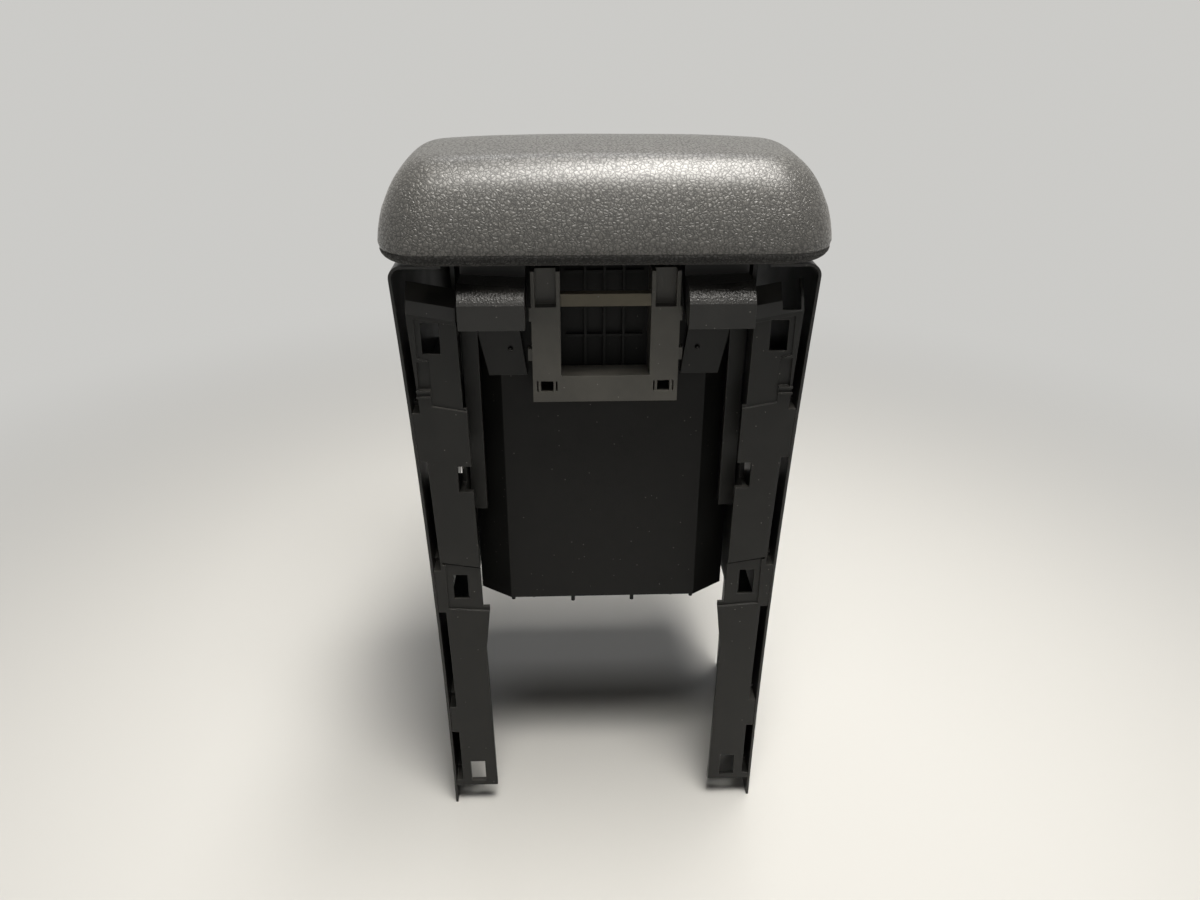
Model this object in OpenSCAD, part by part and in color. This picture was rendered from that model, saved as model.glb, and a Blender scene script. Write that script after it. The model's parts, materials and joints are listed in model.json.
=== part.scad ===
// Car centre armrest: a padded lid hinged at the rear of a storage bin,
// which hangs between two tall flared sides.
// X is the width, Y runs from the rear hinge side to the front, Z is up.
// The origin lies on the floor under the middle of the armrest.

/* [Lid pad] */
// Width of the pad
lid_w = 241; // [232:1:260]
// Length of the pad from rear to front
lid_l = 247; // [237:1:280]
// How far the pad stands out behind the rear face of the sides
lid_overhang = 20; // [12:1:24]
// Height of the pad at its highest point
pad_h = 55; // [40:1:70]
// How much lower the top is at the front edge
pad_front_drop = 26; // [0:1:30]
// How much the top falls from the middle to each side
pad_crown = 5; // [0:1:12]
// How far in from the outline the soft top edge reaches
pad_edge = 28; // [20:1:45]
// How far the pad's sides lean in towards the top
pad_draft = 3.2; // [0:0.2:6]
// Radius of the lower edge, where the cover wraps under
pad_under_r = 7; // [4:1:9]
// Radius of the pad's corners, seen from above
pad_corner_r = 27; // [20:1:50]
// Width of the cover's border on the underside
pad_wrap = 16; // [12:1:20]
// Depth of the recess in the underside for the lid base
pad_recess = 10; // [7:0.5:14]

/* [Lid base and liner] */
// Thickness of the lid base plate
base_t = 3; // [2:0.5:4]
// Thickness of the ribs on the lid base
base_rib_t = 2; // [1.5:0.5:3]
// Thickness of the liner under the lid
liner_t = 1.6; // [1.2:0.1:1.8]
// How far the liner's edge lies inside the edge of the lid base
liner_inset = 5; // [4:1:12]
// Gap between the box rim and the pad
lid_gap = 3.4; // [2.6:0.1:5]

/* [Sides] */
// Height of the box rim above the floor
rim_z = 388; // [380:1:420]
// Outer width across the sides at the floor
foot_w = 209; // [206:1:218]
// Outer width across the sides at the rim
rim_w = 233; // [228:1:238]
// Length of the sides from the rear face to the front
side_l = 222; // [216:1:235]
// Thickness of the outer side panels
panel_t = 1.6; // [1.4:0.1:2.6]
// Radius of the panel's upper outer corner
panel_corner_r = 7; // [5:0.5:10]
// Depth of the leg at the floor, from the rear face
leg_l = 142; // [120:1:170]
// Height at which the curve in the front edge begins
leg_curve_z = 120; // [90:1:140]

/* [Side frames] */
// Thickness of the rear flange
flange_t = 3.2; // [2.6:0.1:4]
// Distance between the flanges at the rim
flange_gap_top = 160; // [156:1:161]
// Distance between the flanges at the floor
flange_gap_foot = 148; // [146:1:152]
// Height of the flange's lower end above the floor
flange_foot_z = 16; // [10:1:24]
// Width of the open channel between flange and panel
channel_w = 4.8; // [3.4:0.1:5.4]
// Width of the clip windows
window_w = 10; // [8:0.5:12]
// Height of the clip windows
window_h = 18; // [14:0.5:22]
// Depth of the recessed seats around the windows
seat_depth = 1.4; // [0.8:0.1:1.8]
// Thickness of the upright web beside the bin
web_t = 2.5; // [2:0.1:2.9]
// Diameter of the fixing holes in the legs
fixing_d = 6.5; // [4:0.5:9]
// Depth of the web inside each leg
leg_web_l = 95; // [80:1:110]
// Gap between the web in the leg and the outer panel
leg_web_gap = 4.4; // [3:0.1:6]

/* [Storage bin] */
// Width of the bin
bin_w = 161; // [152:1:162]
// Width of the flat middle of the bin's rear wall
bin_rear_w = 121; // [112:1:126]
// Distance from the rear face of the sides to the bin's rear wall
bin_rear_y = 26; // [26:0.5:30]
// Depth of the cut corners of the bin along Y
bin_cut = 14; // [10:0.5:20]
// Height of the bin's underside above the floor
bin_floor_z = 157; // [140:1:190]
// Thickness of the bin's walls
bin_wall = 2.5; // [2:0.1:3.2]
// Distance from the bin's front to the front of the sides
bin_front_gap = 7; // [5:0.5:10]
// Spacing of the stiffening ribs on the bin's rear wall
grid_pitch = 10.9; // [9:0.1:11.5]
// Thickness of the mat on the bin's floor
mat_t = 2; // [1:0.5:4]

/* [Hinge] */
// Distance of the hinge axis from the rear face of the sides
pivot_y = 8; // [7:0.5:9]
// Depth of the hinge axis below the rim
pivot_drop = 23; // [22:0.5:25]
// Diameter of the hinge pins
pin_d = 6; // [5:0.5:7]
// Width of each arm's hood
hood_w = 35.6; // [34:0.2:37]
// Distance from the middle of the armrest to the middle of each hood
hood_x = 61.5; // [61:0.1:62]
// Wall of the hoods
hood_t = 2.2; // [1.6:0.1:2.6]
// How far the hoods' tops fall towards the middle, in degrees
hood_tilt = 2.7; // [0:0.1:4]

/* [Rails and bracket] */
// Width of the rail below each hood
rail_w = 9.4; // [7:0.2:11]
// Length of the rails
rail_l = 118; // [80:1:130]
// Width of the centre bracket
bracket_w = 82; // [76:1:83]
// Height of the centre bracket's face
bracket_h = 56; // [50:1:60]
// Width of each upright of the centre bracket
upright_w = 16; // [14:0.5:19]
// Wall of the centre bracket
bracket_t = 2.2; // [1.6:0.1:3]
// Height of the cross bar
cross_bar_h = 7; // [5:0.5:9]
// Depth of the cross bar
cross_bar_t = 6; // [4:0.5:8]

/* [Latch] */
// Width of the release lever
latch_w = 56; // [40:1:70]
// Diameter of the latch pin
latch_pin_d = 3; // [2.5:0.5:4]
// Thickness of the release lever's paddle
paddle_t = 2.6; // [2:0.1:3.4]

/* [Hidden] */
$fn = 48;

// Clearances
seat_gap = 0.3;         // between a soft or loose piece and its seat
fit_gap = 0.05;         // radial, round a pin in its bore
run_gap = 1;            // beside moving parts
eps = 0.01;

// Heights and depths that follow from the driving sizes
rear_y = lid_overhang - lid_l / 2;
rear_to_lid_front = lid_l - lid_overhang;
pad_z = rim_z + lid_gap;
base_z = pad_z;
liner_z = base_z - liner_t;
pivot_z = rim_z - pivot_drop;
bin_front_y = side_l - bin_front_gap;
rim_seam_x = bin_w / 2 + 7;
web_x = bin_w / 2 + 2.6;
flange_top_z = pivot_z - 2;
bracket_low_z = pivot_z - 57.5;
bracket_high_z = bracket_low_z + bracket_h;
pad_crown_y = 73;

// Measures everything from the rear face of the sides
module from_rear() {
    translate([0, rear_y, 0]) children();
}

// The same piece on the right (+1) or, mirrored, on the left (-1)
module on_side(side) {
    mirror([side < 0 ? 1 : 0, 0, 0]) children();
}

// Extrudes a shape drawn as (Y, Z) from x0 to x1
module along_x(x0, x1) {
    translate([x0, 0, 0]) rotate([90, 0, 90]) linear_extrude(height = x1 - x0) children();
}

// Extrudes a shape drawn as (X, Z) from y0 to y1
module along_y(y0, y1) {
    translate([0, y1, 0]) rotate([90, 0, 0]) linear_extrude(height = y1 - y0) children();
}

// A block from one corner to the other
module block(from, to) {
    translate(from) cube(to - from);
}

// A rod along X
module rod_x(x0, x1, d) {
    translate([x0, 0, 0]) rotate([0, 90, 0]) cylinder(h = x1 - x0, d = d);
}

// A rectangle with round corners, drawn from its middle
module round_rect(w, l, r) {
    for (sx = [-1, 1]) {
        for (sy = [-1, 1]) {
            translate([sx * (w / 2 - r), sy * (l / 2 - r)]) circle(r = r);
        }
    }
    square([w - 2 * r, l], center = true);
    square([w, l - 2 * r], center = true);
}

// Points on an arc of n steps
function arc(cx, cy, r, a0, a1, n) =
    [for (i = [0 : n]) [cx + r * cos(a0 + (a1 - a0) * i / n), cy + r * sin(a0 + (a1 - a0) * i / n)]];

function reversed(v) = [for (i = [len(v) - 1 : -1 : 0]) v[i]];

// A countersunk or pan screw along -Z, its head's underside at the origin
module screw(d, l, head_d, head_h) {
    cylinder(h = head_h, d = head_d);
    translate([0, 0, -l]) cylinder(h = l + eps, d = d);
}

// Lid pad
// The pad is lofted from rings. Each ring is the rounded outline, set in by some distance.
pad_corner_steps = 9;
pad_side_steps = 4;
pad_side_rings = 9;
pad_top_rings = 5;
pad_top_z = pad_h - pad_under_r;

function ring_corner(a, b, r, q) = [
    [a - r, b - r], [-(a - r), b - r], [-(a - r), -(b - r)], [a - r, -(b - r)]
][q];

function ring_arc(a, b, r, q) =
    arc(ring_corner(a, b, r, q)[0], ring_corner(a, b, r, q)[1], r, q * 90, q * 90 + 90, pad_corner_steps);

function between(p, q, n) = [for (i = [1 : n - 1]) p + (q - p) * i / n];

// The outline set in by d, with its corners kept round
pad_inner_r = 14;
function ring_r(d) = max(pad_corner_r - d / 2, pad_inner_r);
function ring(d) =
    let (a = lid_w / 2 - d, b = lid_l / 2 - d, r = min(ring_r(d), a - eps))
    [for (q = [0 : 3]) each concat(
        ring_arc(a, b, r, q),
        between(ring_arc(a, b, r, q)[pad_corner_steps], ring_arc(a, b, r, (q + 1) % 4)[0], pad_side_steps))];

// Height of the pad's top at a place, before its edge is rounded
pad_rear_drop = 3;
crown_power = 3;
function front_fall(y) =
    let (t = (y + lid_l / 2 - pad_crown_y) / (lid_l - pad_crown_y))
    t > 0 ? pad_front_drop * pow(t, 1.2) : pad_rear_drop * t * t;
function top_height(p) = pad_top_z - front_fall(p[1]) - pad_crown * pow(abs(2 * p[0] / lid_w), crown_power);
edge_power = 2.2;
function edge_up(t) = pow(sin(t * 90), 2 / edge_power);
function edge_in(t) = (pad_edge - pad_draft) * (1 - pow(cos(t * 90), 2 / edge_power)) + pad_draft * edge_up(t);

function flat_ring(d, z) = [for (p = ring(d)) [p[0], p[1], z]];
function side_ring(t) =
    [for (p = ring(edge_in(t))) [p[0], p[1], pad_under_r + top_height(p) * edge_up(t)]];
function top_ring(d) = [for (p = ring(d)) [p[0], p[1], pad_under_r + top_height(p)]];

pad_centre_in = min(lid_w, lid_l) / 2 - 6;
pad_rings = concat(
    [flat_ring(pad_wrap, pad_recess), flat_ring(pad_wrap, 0), flat_ring(pad_under_r, 0)],
    [for (a = [30 : 30 : 60]) flat_ring(pad_under_r * (1 - sin(a)), pad_under_r * (1 - cos(a)))],
    [for (i = [0 : pad_side_rings]) side_ring(i / pad_side_rings)],
    [for (i = [1 : pad_top_rings])
        top_ring(pad_edge + (pad_centre_in - pad_edge) * i / pad_top_rings)]);

module loft(rings) {
    m = len(rings[0]);
    n = len(rings);
    mid = [for (k = [0, n - 1]) (rings[k][0] + rings[k][floor(m / 2)]) / 2];
    polyhedron(
        points = concat([for (r = rings) each r], mid),
        faces = concat(
            [for (k = [0 : n - 2]) for (i = [0 : m - 1])
                [k * m + i, (k + 1) * m + i, (k + 1) * m + (i + 1) % m]],
            [for (k = [0 : n - 2]) for (i = [0 : m - 1])
                [k * m + i, (k + 1) * m + (i + 1) % m, k * m + (i + 1) % m]],
            [for (i = [0 : m - 1]) [i, (i + 1) % m, n * m]],
            [for (i = [0 : m - 1]) [(n - 1) * m + (i + 1) % m, (n - 1) * m + i, n * m + 1]]));
}

module lid_pad() {
    color("#26272a") translate([0, 0, pad_z]) loft(pad_rings);
}

// Lid base
base_w = lid_w - 2 * pad_wrap - 2 * seat_gap;
base_l = lid_l - 2 * pad_wrap - 2 * seat_gap;
base_r = ring_r(pad_wrap) - seat_gap;
base_rib_h = pad_recess - base_t - seat_gap;
base_rib_count = 4;
tongue_l = 30;
tongue_y = pivot_y + 2;
tongue_t = 3;
screw_d = 4;
screw_head_d = 8;
screw_head_h = 2.4;
arm_screw_dx = 11;
arm_screw_y = tongue_y + tongue_l - 6;
latch_hinge_y = min(bin_front_y - 9, rear_to_lid_front - pad_wrap - 5);
latch_z = pad_z - 4.6;
liner_rear_y = tongue_y + tongue_l + 2;
liner_front_y = latch_hinge_y - 9;
liner_w = base_w - 2 * liner_inset;
liner_r = 14;
liner_dish = 0.8;
lid_screw_x = liner_w / 2 - 16.7;
lid_screw_ys = [liner_rear_y + 28, liner_front_y - 11];

module lid_screw_places() {
    for (sx = [-1, 1]) {
        for (y = lid_screw_ys) {
            translate([sx * lid_screw_x, y, liner_z]) children();
        }
    }
}

module arm_screw_places() {
    for (side = [-1, 1]) {
        for (dx = [-1, 1]) {
            translate([side * hood_x + dx * arm_screw_dx, arm_screw_y, base_z - tongue_t]) children();
        }
    }
}

module lid_base() {
    color("#1c1d1f") difference() {
        union() {
            translate([0, 0, base_z]) linear_extrude(height = base_t) round_rect(base_w, base_l, base_r);
            translate([0, 0, base_z + base_t - eps]) linear_extrude(height = base_rib_h + eps) difference() {
                round_rect(base_w, base_l, base_r);
                round_rect(base_w - 2 * base_rib_t, base_l - 2 * base_rib_t, base_r - base_rib_t);
            }
            for (i = [1 : base_rib_count]) {
                x = -base_w / 2 + base_w * i / (base_rib_count + 1);
                block([x - base_rib_t / 2, -base_l / 2 + base_rib_t / 2, base_z + base_t - eps],
                      [x + base_rib_t / 2, base_l / 2 - base_rib_t / 2, base_z + base_t + base_rib_h]);
                y = -base_l / 2 + base_l * i / (base_rib_count + 1);
                block([-base_w / 2 + base_rib_t / 2, y - base_rib_t / 2, base_z + base_t - eps],
                      [base_w / 2 - base_rib_t / 2, y + base_rib_t / 2, base_z + base_t + base_rib_h]);
            }
            from_rear() lid_screw_places() translate([0, 0, liner_t])
                cylinder(h = base_t + base_rib_h, d = 2 * screw_d);
            from_rear() arm_screw_places() translate([0, 0, tongue_t])
                cylinder(h = base_t + base_rib_h, d = 2 * screw_d);
            // Lugs for the latch pin
            for (x = [-latch_w / 2, latch_w / 2 - latch_lug_t]) {
                from_rear() block([x, latch_hinge_y - 4, latch_z - latch_barrel_r],
                                  [x + latch_lug_t, latch_hinge_y + 4, base_z + eps]);
            }
        }
        from_rear() lid_screw_places() cylinder(h = liner_t + base_t + 3, d = screw_d + 2 * fit_gap);
        from_rear() arm_screw_places() cylinder(h = tongue_t + base_t + 3, d = screw_d + 2 * fit_gap);
        from_rear() translate([0, latch_hinge_y, latch_z]) rod_x(-latch_w, latch_w, latch_pin_d + 2 * fit_gap);
    }
}

// Lid liner
module lid_liner() {
    color("#232427") from_rear() difference() {
        translate([0, (liner_rear_y + liner_front_y) / 2, liner_z])
            linear_extrude(height = liner_t) round_rect(liner_w, liner_front_y - liner_rear_y, liner_r);
        translate([0, (liner_rear_y + liner_front_y) / 2, liner_z - eps])
            linear_extrude(height = liner_dish)
                round_rect(liner_w - 44, liner_front_y - liner_rear_y - 24, liner_r - 4);
        lid_screw_places() translate([0, 0, -eps]) cylinder(h = liner_t + 2 * eps, d = screw_d + 0.4);
        lid_screw_places() translate([0, 0, -eps]) cylinder(h = liner_dish + 2 * eps, d = screw_head_d + 0.6);
    }
}

module lid_screws() {
    color("#3a3b3e") from_rear() lid_screw_places() translate([0, 0, liner_dish])
        rotate([180, 0, 0]) screw(screw_d, liner_t + base_t + 1, screw_head_d, liner_dish);
}

// Hinge arms
// Side view of the hood: an upright smooth face, a sloping grained shoulder and a top that runs to the neck.
hood_back_y = -14;
hood_low_z = pivot_z - 8.5;
hood_edge_z = pivot_z + 5.2;
shoulder_r = 18.5;
shoulder_from = 155;
shoulder_to = 110;
shoulder_y = hood_back_y - shoulder_r * cos(shoulder_from);
shoulder_z = hood_edge_z - shoulder_r * sin(shoulder_from);
hood_top_z = shoulder_z + shoulder_r * sin(shoulder_to);
neck_y = pivot_y + 5;
neck_t = 5;
barrel_r = pin_d / 2 + 5;
barrel_w = 7;
barrel_x = hood_x - 9.6;
barrel_web_x = barrel_x + 2;
barrel_web_t = 3;
hood_x0 = hood_x - hood_w / 2;
hood_x1 = hood_x + hood_w / 2;
hood_fall = hood_w * tan(hood_tilt);
hood_reach = 60;
hood_draft = 0.6;

function shoulder(grow) = arc(shoulder_y, shoulder_z, shoulder_r + grow, shoulder_from, shoulder_to, 8);

module hood_outline() {
    polygon(concat(
        [[hood_back_y, hood_low_z], [hood_back_y, hood_edge_z]],
        shoulder(0),
        [[neck_y + neck_t, hood_top_z], [neck_y + neck_t, pivot_z + 5], [pivot_y - 2, hood_low_z + 3],
         [pivot_y - 8, hood_low_z]]));
}

module hood_hollow() {
    polygon(concat(
        [[hood_back_y + hood_t + hood_draft, hood_low_z - 1]],
        shoulder(-hood_t),
        [[neck_y + neck_t + 1, hood_top_z - hood_t], [neck_y + neck_t + 1, hood_low_z - 1]]));
}

// Everything more than d below the hood's tilted top
module below_hood_top(d) {
    intersection() {
        children();
        translate([hood_x1 + 1, pivot_y, hood_top_z - d]) rotate([0, -hood_tilt, 0])
            block([-hood_reach, -hood_reach, -hood_reach], [hood_reach, hood_reach, 0]);
    }
}

// A closed web beside the barrel parts the hood's hollow in two
module hood() {
    difference() {
        below_hood_top(0) along_x(hood_x0, hood_x1) hood_outline();
        below_hood_top(hood_t) along_x(hood_x0 + hood_t, barrel_web_x) hood_hollow();
        below_hood_top(hood_t) along_x(barrel_web_x + barrel_web_t, hood_x1 - hood_t) hood_hollow();
    }
}

module hinge_arm(side) {
    color("#2b2c2e") from_rear() on_side(side) difference() {
        union() {
            hood();
            // Neck up to the tongue
            block([hood_x0, neck_y, hood_top_z - hood_fall - hood_t - 1], [hood_x1, neck_y + neck_t, base_z]);
            // Tongue under the lid base
            block([hood_x0, neck_y, base_z - tongue_t], [hood_x1, tongue_y + tongue_l, base_z]);
            // Barrel on the pin, round the hood's web
            translate([0, pivot_y, pivot_z]) rod_x(barrel_x, barrel_x + barrel_w, 2 * barrel_r);
            // Gussets between neck and tongue
            for (x = [hood_x0 + 4, hood_x, hood_x1 - 4 - hood_t]) {
                along_x(x, x + hood_t) polygon([
                    [neck_y + neck_t - eps, hood_top_z + 1], [neck_y + neck_t - eps, base_z - tongue_t + eps],
                    [neck_y + neck_t + 8, base_z - tongue_t + eps]]);
            }
        }
        translate([0, pivot_y, pivot_z]) rod_x(barrel_x - 1, barrel_x + barrel_w + 1, pin_d + 2 * fit_gap);
        for (dx = [-1, 1]) {
            translate([hood_x + dx * arm_screw_dx, arm_screw_y, base_z - tongue_t - eps])
                cylinder(h = tongue_t + 2 * eps, d = screw_d + 0.4);
        }
    }
}

module arm_screws() {
    color("#8d8f92") from_rear() arm_screw_places() rotate([180, 0, 0])
        screw(screw_d, tongue_t + base_t + 2, screw_head_d, screw_head_h);
}

// Hinge carriers
// Two ears hold the pin inside the hood. They reach back from a wall ahead of the hood's swing.
carrier_y = pivot_y + 14;
carrier_t = 3;
rail_wall = 2.2;
rail_lip = 1.5;
ear_t = 3.4;
ear_r = pin_d / 2 + 4.5;
ear_in_x = barrel_x - 0.5 - ear_t;
ear_out_x = hood_x + 5.6;
carrier_top_z = pivot_z + 6;
rail_x1 = web_x - 1.4;
rail_top_z = pivot_z - 18.5;
plate_low_z = pivot_z - 48;
plate_slant = 3.8;
plate_gap_w = 5.5;
carrier_side_x = web_x - seat_gap;
carrier_screw_z = pivot_z - 31.5;
carrier_screw_x = bin_rear_w / 2 - 6.5;
carrier_face_y = bin_rear_y - seat_gap;
carrier_side_y = bin_rear_y + bin_cut - 6;

module ear_profile() {
    translate([pivot_y, pivot_z]) circle(r = ear_r);
    polygon([[pivot_y, pivot_z + ear_r], [carrier_y + eps, carrier_top_z],
             [carrier_y + eps, pivot_z - ear_r - 4.4], [pivot_y, pivot_z - ear_r]]);
}

module hinge_carrier(side) {
    color("#1d1e20") from_rear() on_side(side) difference() {
        union() {
            for (x = [ear_in_x, ear_out_x]) {
                along_x(x, x + ear_t) ear_profile();
            }
            // Wall ahead of the hood, and the plate below it with slanted sides
            along_y(carrier_y, carrier_face_y) polygon([
                [ear_in_x, carrier_top_z], [carrier_side_x, carrier_top_z], [carrier_side_x, plate_low_z],
                [hood_x0 + 1, plate_low_z], [hood_x0 + 1 + plate_slant, rail_top_z]]);
            // Rail
            block([rail_x1 - rail_w, carrier_y - rail_lip, rail_top_z - rail_l],
                  [rail_x1, carrier_face_y, rail_top_z]);
            block([rail_x1 - rail_wall, carrier_y, rail_top_z - rail_l], [rail_x1, carrier_side_y, rail_top_z]);
            // Side wall against the frame's web
            block([carrier_side_x - carrier_t, carrier_y, plate_low_z],
                  [carrier_side_x, carrier_side_y, carrier_top_z]);
            // Small moulding bump on the plate
            translate([carrier_screw_x, carrier_y - 0.6, carrier_screw_z]) sphere(r = 1.4, $fn = 24);
        }
        translate([0, pivot_y, pivot_z]) rod_x(ear_in_x - 1, ear_out_x + ear_t + 1, pin_d + 2 * fit_gap);
        // Slanted gap between the plate and the rail
        along_y(carrier_y - 3, carrier_face_y + 1) polygon([
            [rail_x1 - rail_w + eps, rail_top_z - 4], [rail_x1 - rail_w + eps, plate_low_z - 1],
            [rail_x1 - rail_w - plate_gap_w, plate_low_z - 1]]);
        // Long relief in the back of the rail
        block([rail_x1 - rail_w + 2, carrier_y + 1, rail_top_z - rail_l - 1],
              [rail_x1 - 2, carrier_face_y + 1, plate_low_z - 6]);
        translate([carrier_screw_x, carrier_y + 1, carrier_screw_z]) rotate([-90, 0, 0])
            cylinder(h = 20, d = screw_d + 2 * fit_gap);
    }
}

module hinge_pin(side) {
    color("#9a9c9f") from_rear() on_side(side) translate([0, pivot_y, pivot_z]) {
        rod_x(ear_in_x - 0.4, ear_out_x + ear_t + 0.8, pin_d);
        rod_x(ear_out_x + ear_t + 0.3, ear_out_x + ear_t + 1.5, pin_d + 3);
    }
}

// Torsion spring round the pin, a wound wire of close turns
spring_wire = 1.4;
spring_turns = 4;
spring_r = pin_d / 2 + 1.8;
spring_x = barrel_x + barrel_w + 0.6 + spring_wire / 2;
spring_steps = 16;

function coil_point(r, pitch, i) =
    let (a = 360 * i / spring_steps)
    [pitch * i / spring_steps, r * cos(a), r * sin(a)];
function wire_point(a, b) = [sin(b), cos(a) * cos(b), sin(a) * cos(b)];

module coil(r, wire, pitch, turns) {
    sides = 8;
    n = turns * spring_steps;
    points = [for (i = [0 : n]) let (c = coil_point(r, pitch, i), a = 360 * i / spring_steps)
        for (s = [0 : sides - 1]) c + wire / 2 * wire_point(a, 360 * s / sides)];
    polyhedron(
        points = points,
        faces = concat(
            [[for (s = [0 : sides - 1]) s]],
            [for (i = [0 : n - 1]) for (s = [0 : sides - 1])
                [i * sides + s, (i + 1) * sides + s, (i + 1) * sides + (s + 1) % sides]],
            [for (i = [0 : n - 1]) for (s = [0 : sides - 1])
                [i * sides + s, (i + 1) * sides + (s + 1) % sides, i * sides + (s + 1) % sides]],
            [[for (s = [sides - 1 : -1 : 0]) n * sides + s]]));
}

module hinge_spring(side) {
    color("#6f7174") from_rear() on_side(side)
        translate([spring_x, pivot_y, pivot_z]) coil(spring_r, spring_wire, spring_wire + 0.1, spring_turns);
}

// Sides
flare_power = 2;
flare_steps = 10;
function outer_x(z) = foot_w / 2 + (rim_w - foot_w) / 2 * pow(max(z, 0) / rim_z, flare_power);
function flange_in_x(z) = flange_gap_foot / 2 + (flange_gap_top - flange_gap_foot) / 2 * z / rim_z;
panel_corner_x = outer_x(rim_z - panel_corner_r) - panel_corner_r;
panel_straight_z = rim_z - panel_corner_r;

// Points up the outer face, set in by d
function flare(d, z0, z1, n) = [for (i = [0 : n]) let (z = z0 + (z1 - z0) * i / n) [outer_x(z) - d, z]];

module panel_section() {
    polygon(concat(
        flare(0, 0, panel_straight_z, flare_steps),
        arc(panel_corner_x, panel_straight_z, panel_corner_r, 10, 90, 7),
        [[rim_seam_x + seat_gap, rim_z], [rim_seam_x + seat_gap, rim_z - panel_t]],
        arc(panel_corner_x, panel_straight_z, panel_corner_r - panel_t, 90, 10, 7),
        reversed(flare(panel_t, 0, panel_straight_z, flare_steps))));
}

// The side's outline, with the concave curve in the front edge above the leg
leg_curve_r = side_l - leg_l;
web_inset = 10;
module side_outline(inset) {
    difference() {
        translate([0, inset]) square([side_l - inset, rim_z - inset]);
        translate([leg_l - inset, -1]) square([leg_curve_r + inset + 1, leg_curve_z + 1]);
        translate([side_l, leg_curve_z]) circle(r = leg_curve_r + inset, $fn = 96);
    }
}

panel_rib_t = 2;
panel_rib_w = 6;
panel_rib_y = 12;

module side_panel(side) {
    color("#1f2022") from_rear() on_side(side) intersection() {
        union() {
            along_y(0, side_l) panel_section();
            // Front return, folded in towards the bin
            along_y(side_l - panel_t, side_l) polygon(concat(
                flare(panel_t / 2, leg_curve_z + leg_curve_r - 1, panel_straight_z, flare_steps),
                [[panel_corner_x, rim_z - panel_t / 2], [rim_seam_x + seat_gap, rim_z - panel_t / 2],
                 [rim_seam_x + seat_gap, leg_curve_z + leg_curve_r - 1]]));
            // Stiffening ribs behind the skin, resting on the frame's shelves
            for (z = shelf_zs) {
                x = outer_x(z) - panel_t;
                block([x - min(panel_rib_w, leg_web_gap - seat_gap), panel_rib_y, z + shelf_t + seat_gap],
                      [x + panel_t / 2, leg_web_l - panel_rib_y, z + shelf_t + seat_gap + panel_rib_t]);
            }
        }
        along_x(0, rim_w) side_outline(0);
    }
}

// Side frames
function land_x(z) = outer_x(z) - panel_t - channel_w;
function land_mid_x(z) = (flange_in_x(z) + land_x(z)) / 2;
shelf_t = 2;
shelf_l = leg_l - 12;
// Ends of the channel's slots, as parts of the height between the flange's foot and the rim
slot_parts = [[0.771, 0.984], [0.484, 0.688], [0.191, 0.4], [0.0135, 0.132]];
slot_low_zs = [for (s = slot_parts) flange_foot_z + (rim_z - flange_foot_z) * s[0]];
slot_high_zs = [for (s = slot_parts) flange_foot_z + (rim_z - flange_foot_z) * s[1]];
shelf_zs = [for (z = slot_low_zs) z - shelf_t];
window_zs = [flange_top_z - 16, bin_floor_z + 26, flange_foot_z + 13];
window_shifts = [2.9, 0.7, 0.9];
seat_back = 2.4;
window_xs = [for (i = [0 : 2]) land_mid_x(window_zs[i]) + window_shifts[i]];
seat_low_z = flange_top_z - 58;
seat_high_z = flange_top_z - 5;
seat_x = window_xs[0] + 2;
mid_seat_low_z = window_zs[1] - 18.5;
mid_seat_high_z = window_zs[1] + 12;
mid_seat_rise = 5.5;
pocket_low_z = flange_top_z - 46;
ramp_h = 15;
ramp_depth = 11;
ramp_tilt = 10.5;
notch_z = pivot_z - 105;
notch_h = 17;
notch_d = 5.6;
notch_cut = 1.5;
notch_web_d = 14;
tab_top_z = bin_floor_z + 11;
tab_h = 33;
tab_d = 4;
tab_tip_h = 3;
groove_h = 1.6;
mid_seat_x = outer_x(mid_seat_low_z) - panel_t - channel_w - 2;
leg_web_x = foot_w / 2 - panel_t - leg_web_gap - web_t;
web_step_z = bin_floor_z + 4;
web_rear_y = flange_t - 0.4;
fixing_zs = [flange_foot_z + 24, leg_curve_z - 24];
fixing_y = leg_web_l - 35;

module flange_outline() {
    polygon(concat(
        [[flange_in_x(flange_foot_z), flange_foot_z]],
        flare(panel_t + seat_gap, flange_foot_z, flange_top_z, flare_steps),
        [[flange_in_x(flange_top_z),
          flange_top_z - (outer_x(flange_top_z) - flange_in_x(flange_top_z)) * tan(ramp_tilt)]]));
}

module channel_slots() {
    for (i = [0 : len(slot_low_zs) - 1]) {
        z0 = slot_low_zs[i];
        z1 = slot_high_zs[i];
        polygon([[outer_x(z0) - panel_t - channel_w, z0], [outer_x(z0) + 1, z0],
                 [outer_x(z1) + 1, z1], [outer_x(z1) - panel_t - channel_w, z1]]);
    }
}

module notch_shape() {
    polygon([[-notch_d, -notch_h / 2], [notch_d - notch_cut, -notch_h / 2], [notch_d, -notch_h / 2 + notch_cut],
             [notch_d, notch_h / 2 - notch_cut], [notch_d - notch_cut, notch_h / 2], [-notch_d, notch_h / 2]]);
}

module window(i) {
    translate([window_xs[i] - window_w / 2, window_zs[i] - window_h / 2]) square([window_w, window_h]);
}

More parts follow.
